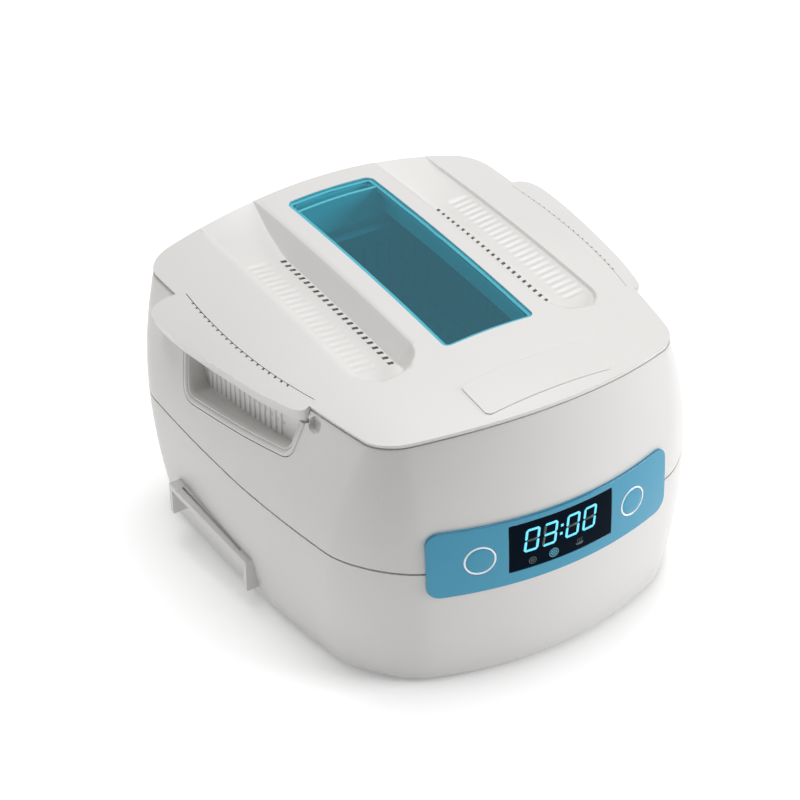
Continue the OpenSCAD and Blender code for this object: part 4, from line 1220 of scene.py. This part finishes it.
steel = metal("stainless", (0.62, 0.63, 0.64), 0.22)
aluminium = metal("aluminium", (0.72, 0.73, 0.74), 0.35)
plated = metal("steel_screw", (0.68, 0.68, 0.69), 0.25)
brass = metal("brass", (0.75, 0.55, 0.22), 0.30)
copper = moulded_plastic("copper_coil", (0.40, 0.18, 0.06), 0.35)
board_green = moulded_plastic("circuit_board", (0.015, 0.12, 0.05), 0.3)
rubber = moulded_plastic("rubber", (0.055, 0.055, 0.058), 0.7, 0.15)
black_nylon = moulded_plastic("black_plastic", (0.02, 0.02, 0.022), 0.45)
ceramic = moulded_plastic("piezo", (0.09, 0.085, 0.08), 0.6)
heater_mat = moulded_plastic("heater", (0.45, 0.12, 0.03), 0.5, 0.1)
sleeve = moulded_plastic("capacitor_sleeve", (0.02, 0.03, 0.12), 0.25)
switch_body = moulded_plastic("switch_body", (0.45, 0.43, 0.38), 0.5)
carried = {
    "bottom_cover": grey_abs, "rubber_feet": rubber, "tank_gasket": silicone, "tank": steel,
    "transducer_horns": aluminium, "piezo_rings": ceramic, "transducer_masses": steel,
    "transducer_bolts": plated, "heater_pad": heater_mat, "thermal_switch": black_nylon,
    "power_board": board_green, "transformer": copper,
    "heat_sink": aluminium, "capacitors": sleeve, "board_standoffs": brass, "fan_frame": black_nylon,
    "fan_rotor": black_nylon, "power_inlet": black_nylon, "inlet_pins": plated, "cover_screws": plated,
    "control_board": board_green, "display_module": black_nylon, "key_switches": switch_body,
    "base_grip_left": white_abs, "base_grip_right": white_abs,
}
for node_name, mat in carried.items():
    paint(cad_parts[node_name], mat)


# ---- basket ----
# A moulded polypropylene basket with two rows of upright slots and a pierced floor. It
# hangs loose in the tank by its rim.

# The basket is light plastic; its mid grey here is painted shade, for the dark inside the tank.
basket_plastic = moulded_plastic("basket_plastic", (0.17, 0.18, 0.20), 0.45)
paint(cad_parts["basket"], basket_plastic)


# ---- studio ----
# A plain pale floor, three soft lamps in dim white surroundings, and the camera. None of
# them is part of the object.

AIM = (0, 0, 0.1)


def lamp(name, place, size, power):
    """A soft square white lamp at a place, aimed at the object."""
    data = bpy.data.lights.new(name, "AREA")
    data.size = size
    data.energy = power
    item = bpy.data.objects.new(name, data)
    bpy.context.collection.objects.link(item)
    item.location = place
    item.rotation_euler = (Vector(AIM) - Vector(place)).to_track_quat("-Z", "Y").to_euler()


floor_mat = bpy.data.materials.new("studio_floor")
floor_mat.use_nodes = True
tune(floor_mat, Base_Color=(0.95, 0.95, 0.95, 1), Roughness=0.9)
tune(floor_mat, Emission_Color=(1, 1, 1, 1), Emission_Strength=0.22)
FLOOR_HALF = 6.0
floor_mesh = bpy.data.meshes.new("studio_floor")
floor_corners = [(x * FLOOR_HALF, y * FLOOR_HALF, 0) for x, y in ((-1, -1), (1, -1), (1, 1), (-1, 1))]
floor_mesh.from_pydata(floor_corners, [], [(0, 1, 2, 3)])
floor = bpy.data.objects.new("studio_floor", floor_mesh)
bpy.context.collection.objects.link(floor)
floor_mesh.materials.append(floor_mat)

world = bpy.data.worlds.new("studio")
bpy.context.scene.world = world
world.use_nodes = True
world.node_tree.nodes["Background"].inputs["Color"].default_value = (1, 1, 1, 1)
world.node_tree.nodes["Background"].inputs["Strength"].default_value = 0.14
bpy.context.scene.view_settings.view_transform = "Standard"
lamp("key_lamp", (0.15, 0.3, 1.8), 1.3, 28.0)
lamp("front_lamp", (1.5, -1.2, 0.9), 0.9, 23.0)
lamp("left_lamp", (-1.5, 0.7, 0.7), 0.9, 5.5)

AZIMUTH = math.radians(-31.5)
ELEVATION = math.radians(37.22)
DISTANCE = 1.29
SIDE_SHIFT = 0.0212
RISE_SHIFT = -0.009
AIM_Z = 0.08
SENSOR = 36
FOCAL_SHARE = 2.8125
right = np.array([math.cos(AZIMUTH), math.sin(AZIMUTH), 0])
level_out = math.cos(ELEVATION)
back = np.array([math.sin(AZIMUTH) * level_out, -math.cos(AZIMUTH) * level_out, math.sin(ELEVATION)])
up = np.cross(back, right)
camera_data = bpy.data.cameras.new("camera")
camera_data.sensor_width = SENSOR
camera_data.lens = SENSOR * FOCAL_SHARE
camera = bpy.data.objects.new("camera", camera_data)
bpy.context.collection.objects.link(camera)
place = back * DISTANCE - right * SIDE_SHIFT - up * RISE_SHIFT + [0, 0, AIM_Z]
turn = Matrix([[right[i], up[i], back[i], place[i]] for i in range(3)] + [[0, 0, 0, 1]])
camera.matrix_world = turn
bpy.context.scene.camera = camera
